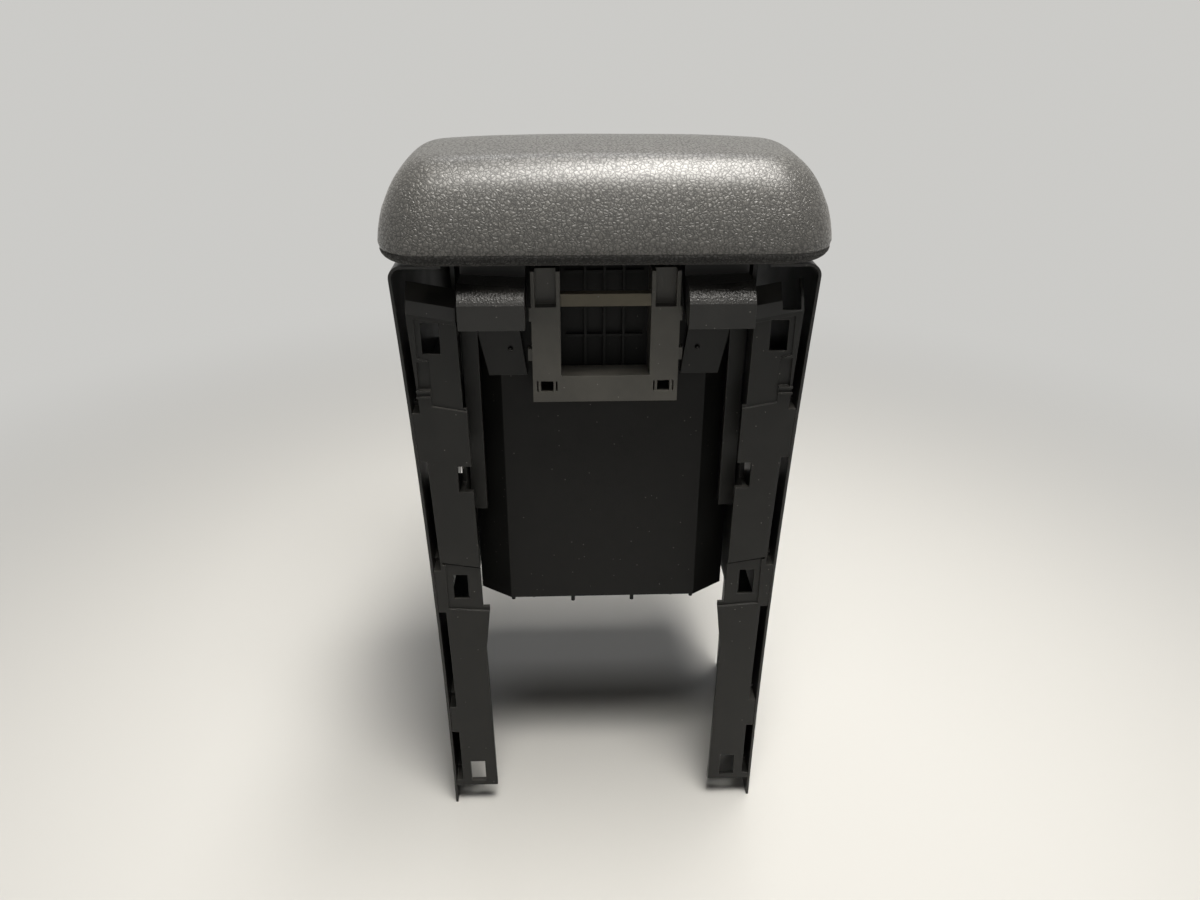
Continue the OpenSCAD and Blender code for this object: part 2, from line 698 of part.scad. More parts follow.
module flange() {
    difference() {
        along_y(0, flange_t) difference() {
            union() {
                flange_outline();
                // Tapering tab on the inner edge
                polygon([[flange_in_x(tab_top_z) + 1, tab_top_z], [flange_in_x(tab_top_z) - tab_d, tab_top_z],
                         [flange_in_x(tab_top_z) - tab_d, tab_top_z - tab_tip_h],
                         [flange_in_x(tab_top_z - tab_h), tab_top_z - tab_h],
                         [flange_in_x(tab_top_z - tab_h) + 1, tab_top_z - tab_h]]);
            }
            channel_slots();
            for (i = [0 : len(window_zs) - 1]) {
                window(i);
            }
            // The inner edge stands back beside the hood and the upper seat
            polygon([[0, seat_low_z - 2], [flange_in_x(seat_low_z) + seat_back, seat_low_z],
                     [flange_in_x(rim_z) + seat_back, rim_z], [0, rim_z]]);
            // Notch in the inner edge
            translate([flange_in_x(notch_z), notch_z]) notch_shape();
        }
        // Recessed clip seats round the upper and the middle window
        along_y(-1, seat_depth) {
            polygon([[flange_in_x(seat_low_z) - 1, seat_low_z - 2], [seat_x, seat_low_z + 2],
                     [seat_x, pocket_low_z + 17], [seat_x + 6, pocket_low_z + 19],
                     [seat_x + 6, seat_high_z + 1], [flange_in_x(seat_high_z) - 2, seat_high_z - 3]]);
            polygon([[flange_gap_foot / 2 - 6, mid_seat_low_z], [mid_seat_x, mid_seat_low_z + 2.5],
                     [mid_seat_x, mid_seat_high_z + mid_seat_rise],
                     [flange_gap_foot / 2 - 6, mid_seat_high_z]]);
        }
        // Small side pocket beside the upper seat
        along_y(-1, seat_depth + 0.8) translate([seat_x, pocket_low_z]) square([6.5, 17]);
        // Narrow groove above the middle seat
        along_y(-1, seat_depth + 0.6) polygon([
            [flange_gap_foot / 2 - 6, mid_seat_high_z], [mid_seat_x + 2, mid_seat_high_z + mid_seat_rise],
            [mid_seat_x + 2, mid_seat_high_z + mid_seat_rise + groove_h],
            [flange_gap_foot / 2 - 6, mid_seat_high_z + groove_h]]);
    }
    // Two short ledges under the side pocket
    for (z = [pocket_low_z - 4.5, pocket_low_z - 1]) {
        block([seat_x, -1.6, z], [seat_x + 8, eps, z + 1.2]);
    }
}

// Glossy ramp at the top of the flange, leaning forward. The right one has a pocket in its outer half.
ramp_pocket_x = 97;
ramp_fin_t = 1.6;
module ramp(side) {
    x0 = flange_in_x(flange_top_z) + seat_back;
    x1 = outer_x(flange_top_z) - panel_t - channel_w;
    rise = (outer_x(flange_top_z) - x0) * tan(ramp_tilt);
    intersection() {
        translate([x0, 0, flange_top_z - rise]) rotate([0, -ramp_tilt, 0])
            along_x(-1, (x1 - x0) / cos(ramp_tilt) + 3) polygon([
                [0, -2], [0, 0], [3, ramp_h * 0.45], [ramp_depth, ramp_h],
                [ramp_depth + 2.4, ramp_h - 1.2], [flange_t + 2, ramp_h * 0.3], [flange_t, -2]]);
        difference() {
            block([x0, -1, flange_top_z - rise - 2], [x1, side_l, rim_z]);
            if (side > 0) {
                block([ramp_pocket_x, -2, flange_top_z - 1], [x1 - ramp_fin_t, side_l + 1, rim_z + 1]);
            }
        }
    }
}

module side_frame(side) {
    color("#1b1c1e") from_rear() on_side(side) difference() {
        union() {
            flange();
            ramp(side);
            // Web beside the bin, stepping outward below it to the web in the leg
            intersection() {
                along_x(web_x, web_x + web_t) side_outline(web_inset);
                union() {
                    block([0, web_rear_y, web_step_z], [rim_w, side_l, flange_top_z - 14]);
                    block([0, carrier_y, web_step_z], [rim_w, side_l, rim_z - panel_t - 4]);
                }
            }
            block([min(web_x, leg_web_x), web_rear_y, web_step_z - eps],
                  [max(web_x, leg_web_x) + web_t, leg_web_l, web_step_z + web_t]);
            block([leg_web_x, web_rear_y, flange_foot_z], [leg_web_x + web_t, leg_web_l, web_step_z + eps]);
            // Shelves from the web out to the panel
            for (z = shelf_zs) {
                block([(z > web_step_z ? web_x : leg_web_x) + eps, web_rear_y, z],
                      [outer_x(z) - panel_t - seat_gap, z > web_step_z ? shelf_l : leg_web_l, z + shelf_t]);
            }
        }
        for (z = fixing_zs) {
            translate([0, fixing_y, z]) rod_x(leg_web_x - 1, leg_web_x + web_t + 1, fixing_d);
        }
        frame_screw_places() rod_x(-5, 5, screw_d + 0.4);
        // The web keeps clear behind the notch
        block([web_x - 1, -1, notch_z - notch_h / 2], [web_x + web_t + 1, notch_web_d, notch_z + notch_h / 2]);
    }
}

frame_screw_ys = [bin_rear_y + bin_cut + 30, bin_front_y - 25];
frame_screw_zs = [bin_floor_z + 73, rim_z - 38];
module frame_screw_places() {
    for (y = frame_screw_ys) {
        for (z = frame_screw_zs) {
            translate([web_x + web_t, y, z]) children();
        }
    }
}

module frame_screws() {
    color("#8d8f92") from_rear() for (side = [-1, 1]) {
        on_side(side) frame_screw_places() rotate([0, 90, 0])
            screw(screw_d, web_t + 5, screw_head_d, screw_head_h);
    }
}

// Storage bin
rim_t = 2.5;
boss_d = 10;
arm_notch_x = [hood_x0 - run_gap, rim_seam_x + 1];
arm_notch_z = base_z - tongue_t - screw_head_h - run_gap;
grid_ribs = 3;
grid_rib_t = 1.5;
grid_zs = [pivot_z - 25, pivot_z + 12.5];
grid_low_z = bracket_low_z + bracket_t + seat_gap;
edge_pin_d = 2.6;
edge_pins = [[bin_rear_w / 2 - 1.3, 3], [bin_rear_w / 2 - 14.9, 1.5], [bin_rear_w / 2 - 40.9, 5]];
latch_notch_w = bin_w - 2 * bin_wall - 2;
latch_notch_z = latch_z - 7;

module bin_outline(inset) {
    w = bin_w / 2 - inset;
    polygon([[-w, bin_front_y - inset], [w, bin_front_y - inset], [w, bin_rear_y + bin_cut + inset * 0.4],
             [bin_rear_w / 2 - inset * 0.4, bin_rear_y + inset],
             [-bin_rear_w / 2 + inset * 0.4, bin_rear_y + inset],
             [-w, bin_rear_y + bin_cut + inset * 0.4]]);
}

module bin_rim_outline() {
    polygon([[-rim_seam_x, bin_front_y], [rim_seam_x, bin_front_y], [rim_seam_x, bin_rear_y + bin_cut],
             [-rim_seam_x, bin_rear_y + bin_cut]]);
}

module storage_bin() {
    color("#17181a") from_rear() difference() {
        union() {
            translate([0, 0, bin_floor_z]) linear_extrude(height = rim_z - bin_floor_z) bin_outline(0);
            translate([0, 0, rim_z - rim_t]) linear_extrude(height = rim_t) bin_rim_outline();
            // Bosses for the frame screws
            for (side = [-1, 1]) {
                on_side(side) frame_screw_places() rod_x(-web_t - 3, -web_t, boss_d);
            }
            // Stiffening grid on the rear wall, behind the bracket
            for (i = [-(grid_ribs - 1) / 2 : (grid_ribs - 1) / 2]) {
                block([i * grid_pitch - grid_rib_t / 2, bracket_back_y + seat_gap, grid_low_z],
                      [i * grid_pitch + grid_rib_t / 2, bin_rear_y + eps, rim_z - 2]);
            }
            for (z = grid_zs) {
                block([-grid_pitch * 2, bracket_back_y + seat_gap + 1, z],
                      [grid_pitch * 2, bin_rear_y + eps, z + grid_rib_t]);
            }
            // Short pins under the rear edge
            for (side = [-1, 1]) {
                for (p = edge_pins) {
                    translate([side * p[0], bin_rear_y + 3, bin_floor_z - p[1]])
                        cylinder(h = p[1] + eps, d = edge_pin_d, $fn = 24);
                }
            }
        }
        translate([0, 0, bin_floor_z + bin_wall]) linear_extrude(height = rim_z) bin_outline(bin_wall);
        // Clearance in the rear rim for the arms
        for (side = [-1, 1]) {
            on_side(side) block([arm_notch_x[0], -1, arm_notch_z],
                                [arm_notch_x[1], tongue_y + tongue_l + 4, rim_z + 1]);
            on_side(side) translate([carrier_screw_x, bin_rear_y, carrier_screw_z]) rotate([-90, 0, 0])
                cylinder(h = 10, d = screw_d + 0.4);
            on_side(side) frame_screw_places() rod_x(-20, 0, screw_d + 2 * fit_gap);
        }
        // Slot in the front wall behind the striker plate
        block([-striker_slot_w / 2, bin_front_y - bin_wall - 1, striker_slot_z],
              [striker_slot_w / 2, bin_front_y + 1, striker_slot_z + striker_slot_h]);
        striker_screw_places() cylinder(h = 20, d = striker_screw_d + 2 * fit_gap, center = true);
        // The front wall stays lower, clear of the latch
        block([-latch_notch_w / 2, bin_front_y - bin_wall - 1, latch_notch_z],
              [latch_notch_w / 2, bin_front_y + 1, rim_z + 1]);
    }
}

module bin_mat() {
    color("#2a2a2c") from_rear() translate([0, 0, bin_floor_z + bin_wall + seat_gap])
        linear_extrude(height = mat_t) bin_outline(bin_wall + 1);
}

module carrier_screws() {
    color("#8d8f92") from_rear() for (side = [-1, 1]) {
        on_side(side) translate([carrier_screw_x, bin_rear_y + bin_wall, carrier_screw_z]) rotate([-90, 0, 0])
            screw(screw_d, bin_wall + 2.4, screw_head_d, screw_head_h);
    }
}

// Rubber stops on the rim under the liner
stop_d = 7;
stop_ys = [bin_rear_y + bin_cut + 24, bin_front_y - 24];
stop_x = bin_w / 2 + 2.5;
stop_h = liner_z - rim_z - seat_gap;

module bump_stops() {
    color("#101011") from_rear() for (sx = [-1, 1]) {
        for (y = stop_ys) {
            translate([sx * stop_x, y, rim_z]) cylinder(h = stop_h, d = stop_d);
        }
    }
}

// Centre bracket
bracket_y = 4;
bracket_back_y = bin_rear_y - 5;
bracket_foot_h = 15.5;
bracket_rise = 20;
upright_step = 7;
bracket_seat_y = bin_rear_y - seat_gap;
opening_w = bracket_w - 2 * upright_w;
ear_step = 1.2;
pocket_w = upright_w - 3.2;
pocket_h = 6.4;
pocket_z = 9.4;

module bracket_face() {
    difference() {
        union() {
            translate([-bracket_w / 2, bracket_low_z]) square([bracket_w, bracket_h]);
            translate([-bracket_w / 2 - ear_step, bracket_high_z - 8]) square([bracket_w + 2 * ear_step, 8]);
        }
        translate([-opening_w / 2, bracket_low_z + bracket_foot_h]) square([opening_w, bracket_h]);
        for (sx = [-1, 1]) {
            translate([sx * (bracket_w - upright_w) / 2, bracket_low_z + pocket_z]) difference() {
                square([pocket_w, pocket_h], center = true);
                for (dx = [-1, 1]) {
                    translate([dx * pocket_w * 0.33, 0]) square([1.4, pocket_h + 1], center = true);
                }
            }
        }
    }
}

module centre_bracket() {
    color("#47484b") from_rear() {
        along_y(bracket_y, bracket_y + bracket_t) bracket_face();
        for (side = [-1, 1]) {
            on_side(side) {
                // Walls of the uprights, running forward to the bin
                for (x = [opening_w / 2, bracket_w / 2 - bracket_t]) {
                    block([x, bracket_y + eps, bracket_low_z + bracket_t / 2],
                          [x + bracket_t, bracket_seat_y, bracket_high_z + bracket_rise]);
                }
                // Stepped-back upper part of the upright
                block([opening_w / 2 + eps, bracket_y + upright_step, bracket_high_z - bracket_t - eps],
                      [bracket_w / 2 - eps, bracket_y + upright_step + bracket_t, bracket_high_z + bracket_rise]);
                block([opening_w / 2 + eps, bracket_y + eps, bracket_high_z - bracket_t],
                      [bracket_w / 2 - eps, bracket_y + upright_step + bracket_t, bracket_high_z - eps]);
                // Tab on the outer edge
                block([bracket_w / 2 - eps, bracket_y + 3, bracket_low_z + 24],
                      [bracket_w / 2 + 2.4, bracket_y + 9, bracket_low_z + 31]);
            }
        }
        // Shelf and underside
        block([-opening_w / 2 - eps, bracket_y + eps, bracket_low_z + bracket_foot_h - bracket_t],
              [opening_w / 2 + eps, bracket_back_y, bracket_low_z + bracket_foot_h]);
        block([-bracket_w / 2 + eps, bracket_y + eps, bracket_low_z],
              [bracket_w / 2 - eps, bracket_seat_y, bracket_low_z + bracket_t]);
    }
}

bar_gap = seat_gap / 3;
bar_wall = 1.5;
bar_end = 6;
cross_bar_y = bracket_y + 0.5;
cross_bar_z = bracket_high_z + seat_gap;
module cross_bar() {
    color("#5b564a") from_rear() difference() {
        block([-opening_w / 2 + bar_gap, cross_bar_y, cross_bar_z],
              [opening_w / 2 - bar_gap, cross_bar_y + cross_bar_t, cross_bar_z + cross_bar_h]);
        // Hollow underneath, open to the front
        block([-opening_w / 2 + bar_end, cross_bar_y + bar_wall, cross_bar_z - 1],
              [opening_w / 2 - bar_end, cross_bar_y + cross_bar_t + 1, cross_bar_z + cross_bar_h - bar_wall]);
    }
}

// Latch
striker_w = 24;
striker_h = 20;
striker_t = 1.5;
striker_z = latch_z - 26;
striker_slot_w = 17;
striker_slot_h = 6;
striker_slot_z = latch_z - 20;
striker_screw_d = 3;
hook_w = 14;
hook_t = 3;
hook_nose = 1.6;
hook_drop = 18;
hook_y = bin_front_y + striker_t + 0.5 + hook_nose;
latch_lug_t = 4;
latch_barrel_r = latch_pin_d / 2 + 1.7;
latch_spring_room = 6;
paddle_y = side_l + 1.5;
lever_x0 = -latch_w / 2 + latch_lug_t + 1;
lever_x1 = latch_w / 2 - latch_lug_t - latch_spring_room - 1;

module latch_lever() {
    color("#232427") from_rear() difference() {
        union() {
            translate([0, latch_hinge_y, latch_z]) rod_x(lever_x0, lever_x1, 2 * latch_barrel_r);
            // Paddle under the pad's front edge, with a finger lip
            block([lever_x0, latch_hinge_y, latch_z - paddle_t / 2],
                  [lever_x1, paddle_y, latch_z + paddle_t / 2]);
            block([lever_x0, paddle_y - paddle_t, latch_z - 5], [lever_x1, paddle_y, latch_z]);
            // Hook with its nose towards the striker
            block([-hook_w / 2, hook_y, latch_z - hook_drop], [hook_w / 2, hook_y + hook_t, latch_z]);
            along_x(-hook_w / 2, hook_w / 2) polygon([
                [hook_y - hook_nose, latch_z - hook_drop + 2.4], [hook_y + eps, latch_z - hook_drop + 2.4],
                [hook_y + eps, latch_z - hook_drop]]);
        }
        translate([0, latch_hinge_y, latch_z]) rod_x(-latch_w / 2, latch_w / 2, latch_pin_d + 2 * fit_gap);
    }
}

module latch_pin() {
    color("#9a9c9f") from_rear() translate([0, latch_hinge_y, latch_z])
        rod_x(-latch_w / 2 - 0.5, latch_w / 2 + 0.5, latch_pin_d);
}

latch_wire = 0.8;
latch_turns = 5;
module latch_spring() {
    color("#6f7174") from_rear() translate([lever_x1 + 0.5 + latch_wire / 2, latch_hinge_y, latch_z])
        coil(latch_pin_d / 2 + 0.9, latch_wire, latch_wire + 0.1, latch_turns);
}

module striker_screw_places() {
    for (sx = [-1, 1]) {
        translate([sx * (striker_w / 2 - 4), bin_front_y + striker_t, striker_z + 3])
            rotate([-90, 0, 0]) children();
    }
}

module striker_plate() {
    color("#9a9c9f") from_rear() difference() {
        block([-striker_w / 2, bin_front_y, striker_z],
              [striker_w / 2, bin_front_y + striker_t, striker_z + striker_h]);
        block([-striker_slot_w / 2, bin_front_y - 1, striker_slot_z],
              [striker_slot_w / 2, bin_front_y + striker_t + 1, striker_slot_z + striker_slot_h]);
        striker_screw_places() cylinder(h = 20, d = striker_screw_d + 0.4, center = true);
    }
}

module striker_screws() {
    color("#8d8f92") from_rear() striker_screw_places() screw(striker_screw_d, striker_t + bin_wall, 5, 1.2);
}

lid_pad();
lid_base();
lid_liner();
lid_screws();
hinge_arm(-1);  // hinge_arm_left
hinge_arm(1);  // hinge_arm_right
arm_screws();
hinge_pin(-1);  // hinge_pin_left
hinge_pin(1);  // hinge_pin_right
hinge_spring(-1);  // hinge_spring_left
hinge_spring(1);  // hinge_spring_right
hinge_carrier(-1);  // hinge_carrier_left
hinge_carrier(1);  // hinge_carrier_right
carrier_screws();
side_frame(-1);  // side_frame_left
side_frame(1);  // side_frame_right
frame_screws();
side_panel(-1);  // side_panel_left
side_panel(1);  // side_panel_right
centre_bracket();
cross_bar();
storage_bin();
bin_mat();
bump_stops();
latch_lever();
latch_pin();
latch_spring();
striker_plate();
striker_screws();
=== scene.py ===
# %% [markdown]
# Car centre armrest, seen from its hinge side.
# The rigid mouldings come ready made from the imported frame. This script gives every one of them
# its finish, builds the soft lid cover and the felt mat as meshes of their own, and sets up the
# camera, the floor and the lamps.

# %% Load the frame
import bpy, bmesh, json, math
from mathutils import Vector, Matrix, noise


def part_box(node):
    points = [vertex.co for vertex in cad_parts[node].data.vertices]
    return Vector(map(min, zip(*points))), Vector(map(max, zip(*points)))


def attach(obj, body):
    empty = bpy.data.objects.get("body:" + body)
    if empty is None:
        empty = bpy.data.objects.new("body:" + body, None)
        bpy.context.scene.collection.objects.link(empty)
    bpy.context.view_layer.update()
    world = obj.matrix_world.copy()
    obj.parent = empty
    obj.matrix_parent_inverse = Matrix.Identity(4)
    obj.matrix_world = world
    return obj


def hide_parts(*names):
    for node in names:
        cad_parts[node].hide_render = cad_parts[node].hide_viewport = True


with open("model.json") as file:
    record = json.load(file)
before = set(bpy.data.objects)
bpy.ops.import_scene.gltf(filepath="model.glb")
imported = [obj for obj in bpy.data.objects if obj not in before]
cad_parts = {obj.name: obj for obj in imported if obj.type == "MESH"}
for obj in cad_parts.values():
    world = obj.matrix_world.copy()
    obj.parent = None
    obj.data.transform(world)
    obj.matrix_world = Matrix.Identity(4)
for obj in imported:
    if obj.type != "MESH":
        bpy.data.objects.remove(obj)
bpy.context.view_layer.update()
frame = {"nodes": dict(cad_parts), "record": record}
nodes = frame["nodes"]
scene = bpy.context.scene

# %% [markdown]
# The camera. A photograph fixes four things: where the lens was, where it looked, how it was rolled,
# and its angle of view. A fit placed and turned the camera by edges and corners of the
# armrest. A fit gives directions and no target, so the camera is built from its own right and
# forward directions.

# %% Camera
LENS_MM, SENSOR_MM = 28.09, 36.0
NEAREST_SEEN = 0.01
CAMERA_AT = Vector((-0.02273, -0.59192, 0.52186))
FORWARD = Vector((0.03597, 0.89425, -0.44611)).normalized()
RIGHT = Vector((0.99925, -0.03851, 0.00338)).normalized()

camera_data = bpy.data.cameras.new("camera")
camera_data.lens = LENS_MM
camera_data.sensor_width = SENSOR_MM
camera_data.clip_start = NEAREST_SEEN
camera = bpy.data.objects.new("camera", camera_data)
scene.collection.objects.link(camera)
back = -FORWARD
up = back.cross(RIGHT).normalized()
right = up.cross(back).normalized()
camera.matrix_world = Matrix((
    (right.x, up.x, back.x, CAMERA_AT.x),
    (right.y, up.y, back.y, CAMERA_AT.y),
    (right.z, up.z, back.z, CAMERA_AT.z),
    (0, 0, 0, 1)))
scene.camera = camera
print("camera at", tuple(round(v, 3) for v in CAMERA_AT))

# %% [markdown]
# Small helpers for shader nodes. Every finish below is a handful of nodes, so a short way
# to add a node, set its values and join sockets keeps each material readable.

# %% Helpers: nodes and links
def add(tree, kind, **settings):
    """Adds a node. Settings name its properties, or its input sockets where a socket has that name."""
    node = tree.nodes.new(kind)
    for name, value in settings.items():
        if hasattr(node, name):
            setattr(node, name, value)
        else:
            node.inputs[name.replace("_", " ")].default_value = value
    return node


def join(tree, source, target):
    """Joins an output socket to an input socket."""
    tree.links.new(source, target)


def feed(tree, socket, value):
    """Gives an input socket its value, which is another socket or a plain value."""
    if isinstance(value, bpy.types.NodeSocket):
        join(tree, value, socket)
    else:
        socket.default_value = value


def set_values(shader, **values):
    """Sets the sockets of a shader that are the same all over the surface."""
    for name, value in values.items():
        shader.inputs[name.replace("_", " ")].default_value = value


print("node helpers ready")

# %% [markdown]
# The next helpers do arithmetic on masks and colours. A mask is a number between zero and one that
# says how much of something there is at a point, and most of a material is made by mixing with masks.

# %% Helpers: masks and colours
MIX_FIRST, MIX_SECOND, MIX_RESULT = 6, 7, 2  # where a Mix node keeps its colour sockets


def math_node(tree, operation, a, b, clamp=False):
    """A Math node. Each of a and b is a socket or a number."""
    node = add(tree, "ShaderNodeMath", operation=operation, use_clamp=clamp)
    feed(tree, node.inputs[0], a)
    feed(tree, node.inputs[1], b)
    return node.outputs[0]


def times(tree, a, b):
    """The product of two masks, or of a mask and a number."""
    return math_node(tree, "MULTIPLY", a, b)


def ramp(tree, value, low, high, out_low=0.0, out_high=1.0):
    """Smooth change from out_low to out_high while value goes from low to high."""
    node = add(tree, "ShaderNodeMapRange", interpolation_type="SMOOTHSTEP")
    set_values(node, From_Min=low, From_Max=high, To_Min=out_low, To_Max=out_high)
    join(tree, value, node.inputs["Value"])
    return node.outputs["Result"]


def rgba(colour):
    """A socket's colour from a plain red, green and blue triple."""
    return (*colour, 1.0)


def blend_colour(tree, factor, first, second):
    """Mixes two colours by a mask. Each colour is a socket or an RGB triple."""
    node = add(tree, "ShaderNodeMix", data_type="RGBA")
    join(tree, factor, node.inputs["Factor"])
    for socket, value in ((node.inputs[MIX_FIRST], first), (node.inputs[MIX_SECOND], second)):
        feed(tree, socket, rgba(value) if isinstance(value, tuple) else value)
    return node.outputs[MIX_RESULT]


def height_of(tree, vector):
    """The upward share of a vector, from its third number."""
    split = add(tree, "ShaderNodeSeparateXYZ")
    join(tree, vector, split.inputs[0])
    return split.outputs["Z"]


print("mask helpers ready")

# %% [markdown]
# A shader group is built once and used in many materials, each time with values of its own. These
# two helpers make an empty group with named sockets, and put a finished group into a material.

# %% Helpers: groups and materials
def new_group(name, inputs, outputs):
    """An empty shader group with named sockets. Returns it with its input and output nodes."""
    group = bpy.data.node_groups.new(name, "ShaderNodeTree")
    for label, kind, value in inputs:
        socket = group.interface.new_socket(name=label, in_out="INPUT", socket_type=kind)
        if value is not None:
            socket.default_value = value
    for label, kind in outputs:
        group.interface.new_socket(name=label, in_out="OUTPUT", socket_type=kind)
    return group, group.nodes.new("NodeGroupInput"), group.nodes.new("NodeGroupOutput")


def place_group(tree, group, **values):
    """Puts a group into a material, with its own values."""
    node = add(tree, "ShaderNodeGroup", node_tree=group)
    set_values(node, **values)
    return node


def new_material(name):
    """A new material with its node tree, its Principled shader and the object's coordinates."""
    material = bpy.data.materials.new(name)
    material.use_nodes = True
    tree = material.node_tree
    return material, tree, tree.nodes["Principled BSDF"], add(tree, "ShaderNodeTexCoord")


print("group helpers ready")

# %% [markdown]
# Leather grain. Embossed cover material has raised pebbles parted by fine creases. A Voronoi
# pattern's distance to the cell edge gives such a surface, once noise has bent its straight cells.
# Two sizes are laid over each other, because a single size looks like a machine-made net.

# %% Group: pebble grain, coordinates
SMALL_TO_LARGE = 2.3
PEBBLE_SHARE, SMALL_SHARE, PORE_SHARE = 0.72, 0.20, 0.08

pebble_grain, group_in, group_out = new_group(
    "pebble_grain",
    [("Vector", "NodeSocketVector", None), ("Cells per metre", "NodeSocketFloat", 480.0),
     ("Bend", "NodeSocketFloat", 0.0012)],
    [("Height", "NodeSocketFloat"), ("Crease", "NodeSocketFloat")])
warp = add(pebble_grain, "ShaderNodeTexNoise", Scale=320.0, Detail=2.0)
join(pebble_grain, group_in.outputs["Vector"], warp.inputs["Vector"])
centred = add(pebble_grain, "ShaderNodeVectorMath", operation="SUBTRACT")
join(pebble_grain, warp.outputs["Color"], centred.inputs[0])
centred.inputs[1].default_value = (0.5, 0.5, 0.5)
push = add(pebble_grain, "ShaderNodeVectorMath", operation="SCALE")
join(pebble_grain, centred.outputs[0], push.inputs[0])
join(pebble_grain, group_in.outputs["Bend"], push.inputs["Scale"])
bent = add(pebble_grain, "ShaderNodeVectorMath", operation="ADD")
join(pebble_grain, group_in.outputs["Vector"], bent.inputs[0])
join(pebble_grain, push.outputs[0], bent.inputs[1])
print("group", pebble_grain.name, "has its bent coordinates")

# %% [markdown]
# The grain's height is the two sizes of pebble and a trace of pores, added up by their shares. The
# crease mask comes from the large pebbles alone, because only the deep creases get a painted shade.

# %% Group: pebble grain, height and creases
coarse = add(pebble_grain, "ShaderNodeTexVoronoi", feature="DISTANCE_TO_EDGE")
join(pebble_grain, bent.outputs[0], coarse.inputs["Vector"])
join(pebble_grain, group_in.outputs["Cells per metre"], coarse.inputs["Scale"])
fine = add(pebble_grain, "ShaderNodeTexVoronoi", feature="DISTANCE_TO_EDGE")
join(pebble_grain, bent.outputs[0], fine.inputs["Vector"])
small_cells = times(pebble_grain, group_in.outputs["Cells per metre"], SMALL_TO_LARGE)
join(pebble_grain, small_cells, fine.inputs["Scale"])
pebble = ramp(pebble_grain, coarse.outputs["Distance"], 0.0, 0.40)
small = ramp(pebble_grain, fine.outputs["Distance"], 0.0, 0.34)
pores = add(pebble_grain, "ShaderNodeTexNoise", Scale=2600.0, Detail=1.0)
join(pebble_grain, group_in.outputs["Vector"], pores.inputs["Vector"])
height = math_node(pebble_grain, "ADD", times(pebble_grain, pebble, PEBBLE_SHARE),
                   times(pebble_grain, small, SMALL_SHARE))
height = math_node(pebble_grain, "ADD", height, times(pebble_grain, pores.outputs["Fac"], PORE_SHARE))
join(pebble_grain, height, group_out.inputs["Height"])
crease = ramp(pebble_grain, coarse.outputs["Distance"], 0.01, 0.17, 1.0, 0.0)
join(pebble_grain, crease, group_out.inputs["Crease"])
print("group", pebble_grain.name, "with", len(pebble_grain.nodes), "nodes")

# %% [markdown]
# Moulded grain. The plastic of hoods and panels has a fine etched texture, much smaller than
# the leather's. A Voronoi pattern for the blisters and a noise for their uneven height are enough.

# %% Group: moulded grain
BLISTER_SHARE, UNEVEN_SHARE = 0.7, 0.3

moulded_grain, group_in, group_out = new_group(
    "moulded_grain",
    [("Vector", "NodeSocketVector", None), ("Blisters per metre", "NodeSocketFloat", 1100.0)],
    [("Height", "NodeSocketFloat")])
blister = add(moulded_grain, "ShaderNodeTexVoronoi", feature="SMOOTH_F1")
set_values(blister, Smoothness=0.5)
join(moulded_grain, group_in.outputs["Vector"], blister.inputs["Vector"])
join(moulded_grain, group_in.outputs["Blisters per metre"], blister.inputs["Scale"])
uneven = add(moulded_grain, "ShaderNodeTexNoise", Scale=900.0, Detail=2.0)
join(moulded_grain, group_in.outputs["Vector"], uneven.inputs["Vector"])
dome = ramp(moulded_grain, blister.outputs["Distance"], 0.05, 0.65, 1.0, 0.0)
height = math_node(moulded_grain, "ADD", times(moulded_grain, dome, BLISTER_SHARE),
                   times(moulded_grain, uneven.outputs["Fac"], UNEVEN_SHARE))
join(moulded_grain, height, group_out.inputs["Height"])
print("group", moulded_grain.name, "with", len(moulded_grain.nodes), "nodes")

# %% [markdown]
# Soft edges. A moulding never has a knife edge, and the thin light line along each edge is what
# makes plastic look real. The Bevel node rounds the shading there without touching the mesh.
# Where its normal departs from the surface's own, there is an edge, which gives the mask for a painted
# highlight along the edges that also stands for light wear.

# %% Group: soft edges
BEVEL_SAMPLES = 6

soft_edges, group_in, group_out = new_group(
    "soft_edges",
    [("Radius", "NodeSocketFloat", 0.0004)],
    [("Normal", "NodeSocketVector"), ("Edge", "NodeSocketFloat")])
bevel = add(soft_edges, "ShaderNodeBevel", samples=BEVEL_SAMPLES)
join(soft_edges, group_in.outputs["Radius"], bevel.inputs["Radius"])
surface = add(soft_edges, "ShaderNodeNewGeometry")
same = add(soft_edges, "ShaderNodeVectorMath", operation="DOT_PRODUCT")
join(soft_edges, bevel.outputs["Normal"], same.inputs[0])
join(soft_edges, surface.outputs["Normal"], same.inputs[1])
join(soft_edges, bevel.outputs["Normal"], group_out.inputs["Normal"])
edge = ramp(soft_edges, same.outputs["Value"], 0.80, 0.995, 1.0, 0.0)
join(soft_edges, edge, group_out.inputs["Edge"])
print("group", soft_edges.name, "with", len(soft_edges.nodes), "nodes")

# %% [markdown]
# Dust and light wear. The part has been in use: fine specks lie on it, thickest where a face looks
# upward, and thin scuffs run over the flat faces. The film on the faces that look up is dust and also a
# painted highlight that lightens the tops. They come as masks, which each material then
# uses to lighten its colour and to change its roughness. Which way a face looks is asked in the
# object's own space, so the dust stays where it is when the lid opens.

# %% Group: wear marks, specks and a film of dust and painted top light
SPECK_CHANCE = 0.72  # a cell gets a speck where its random number is above this

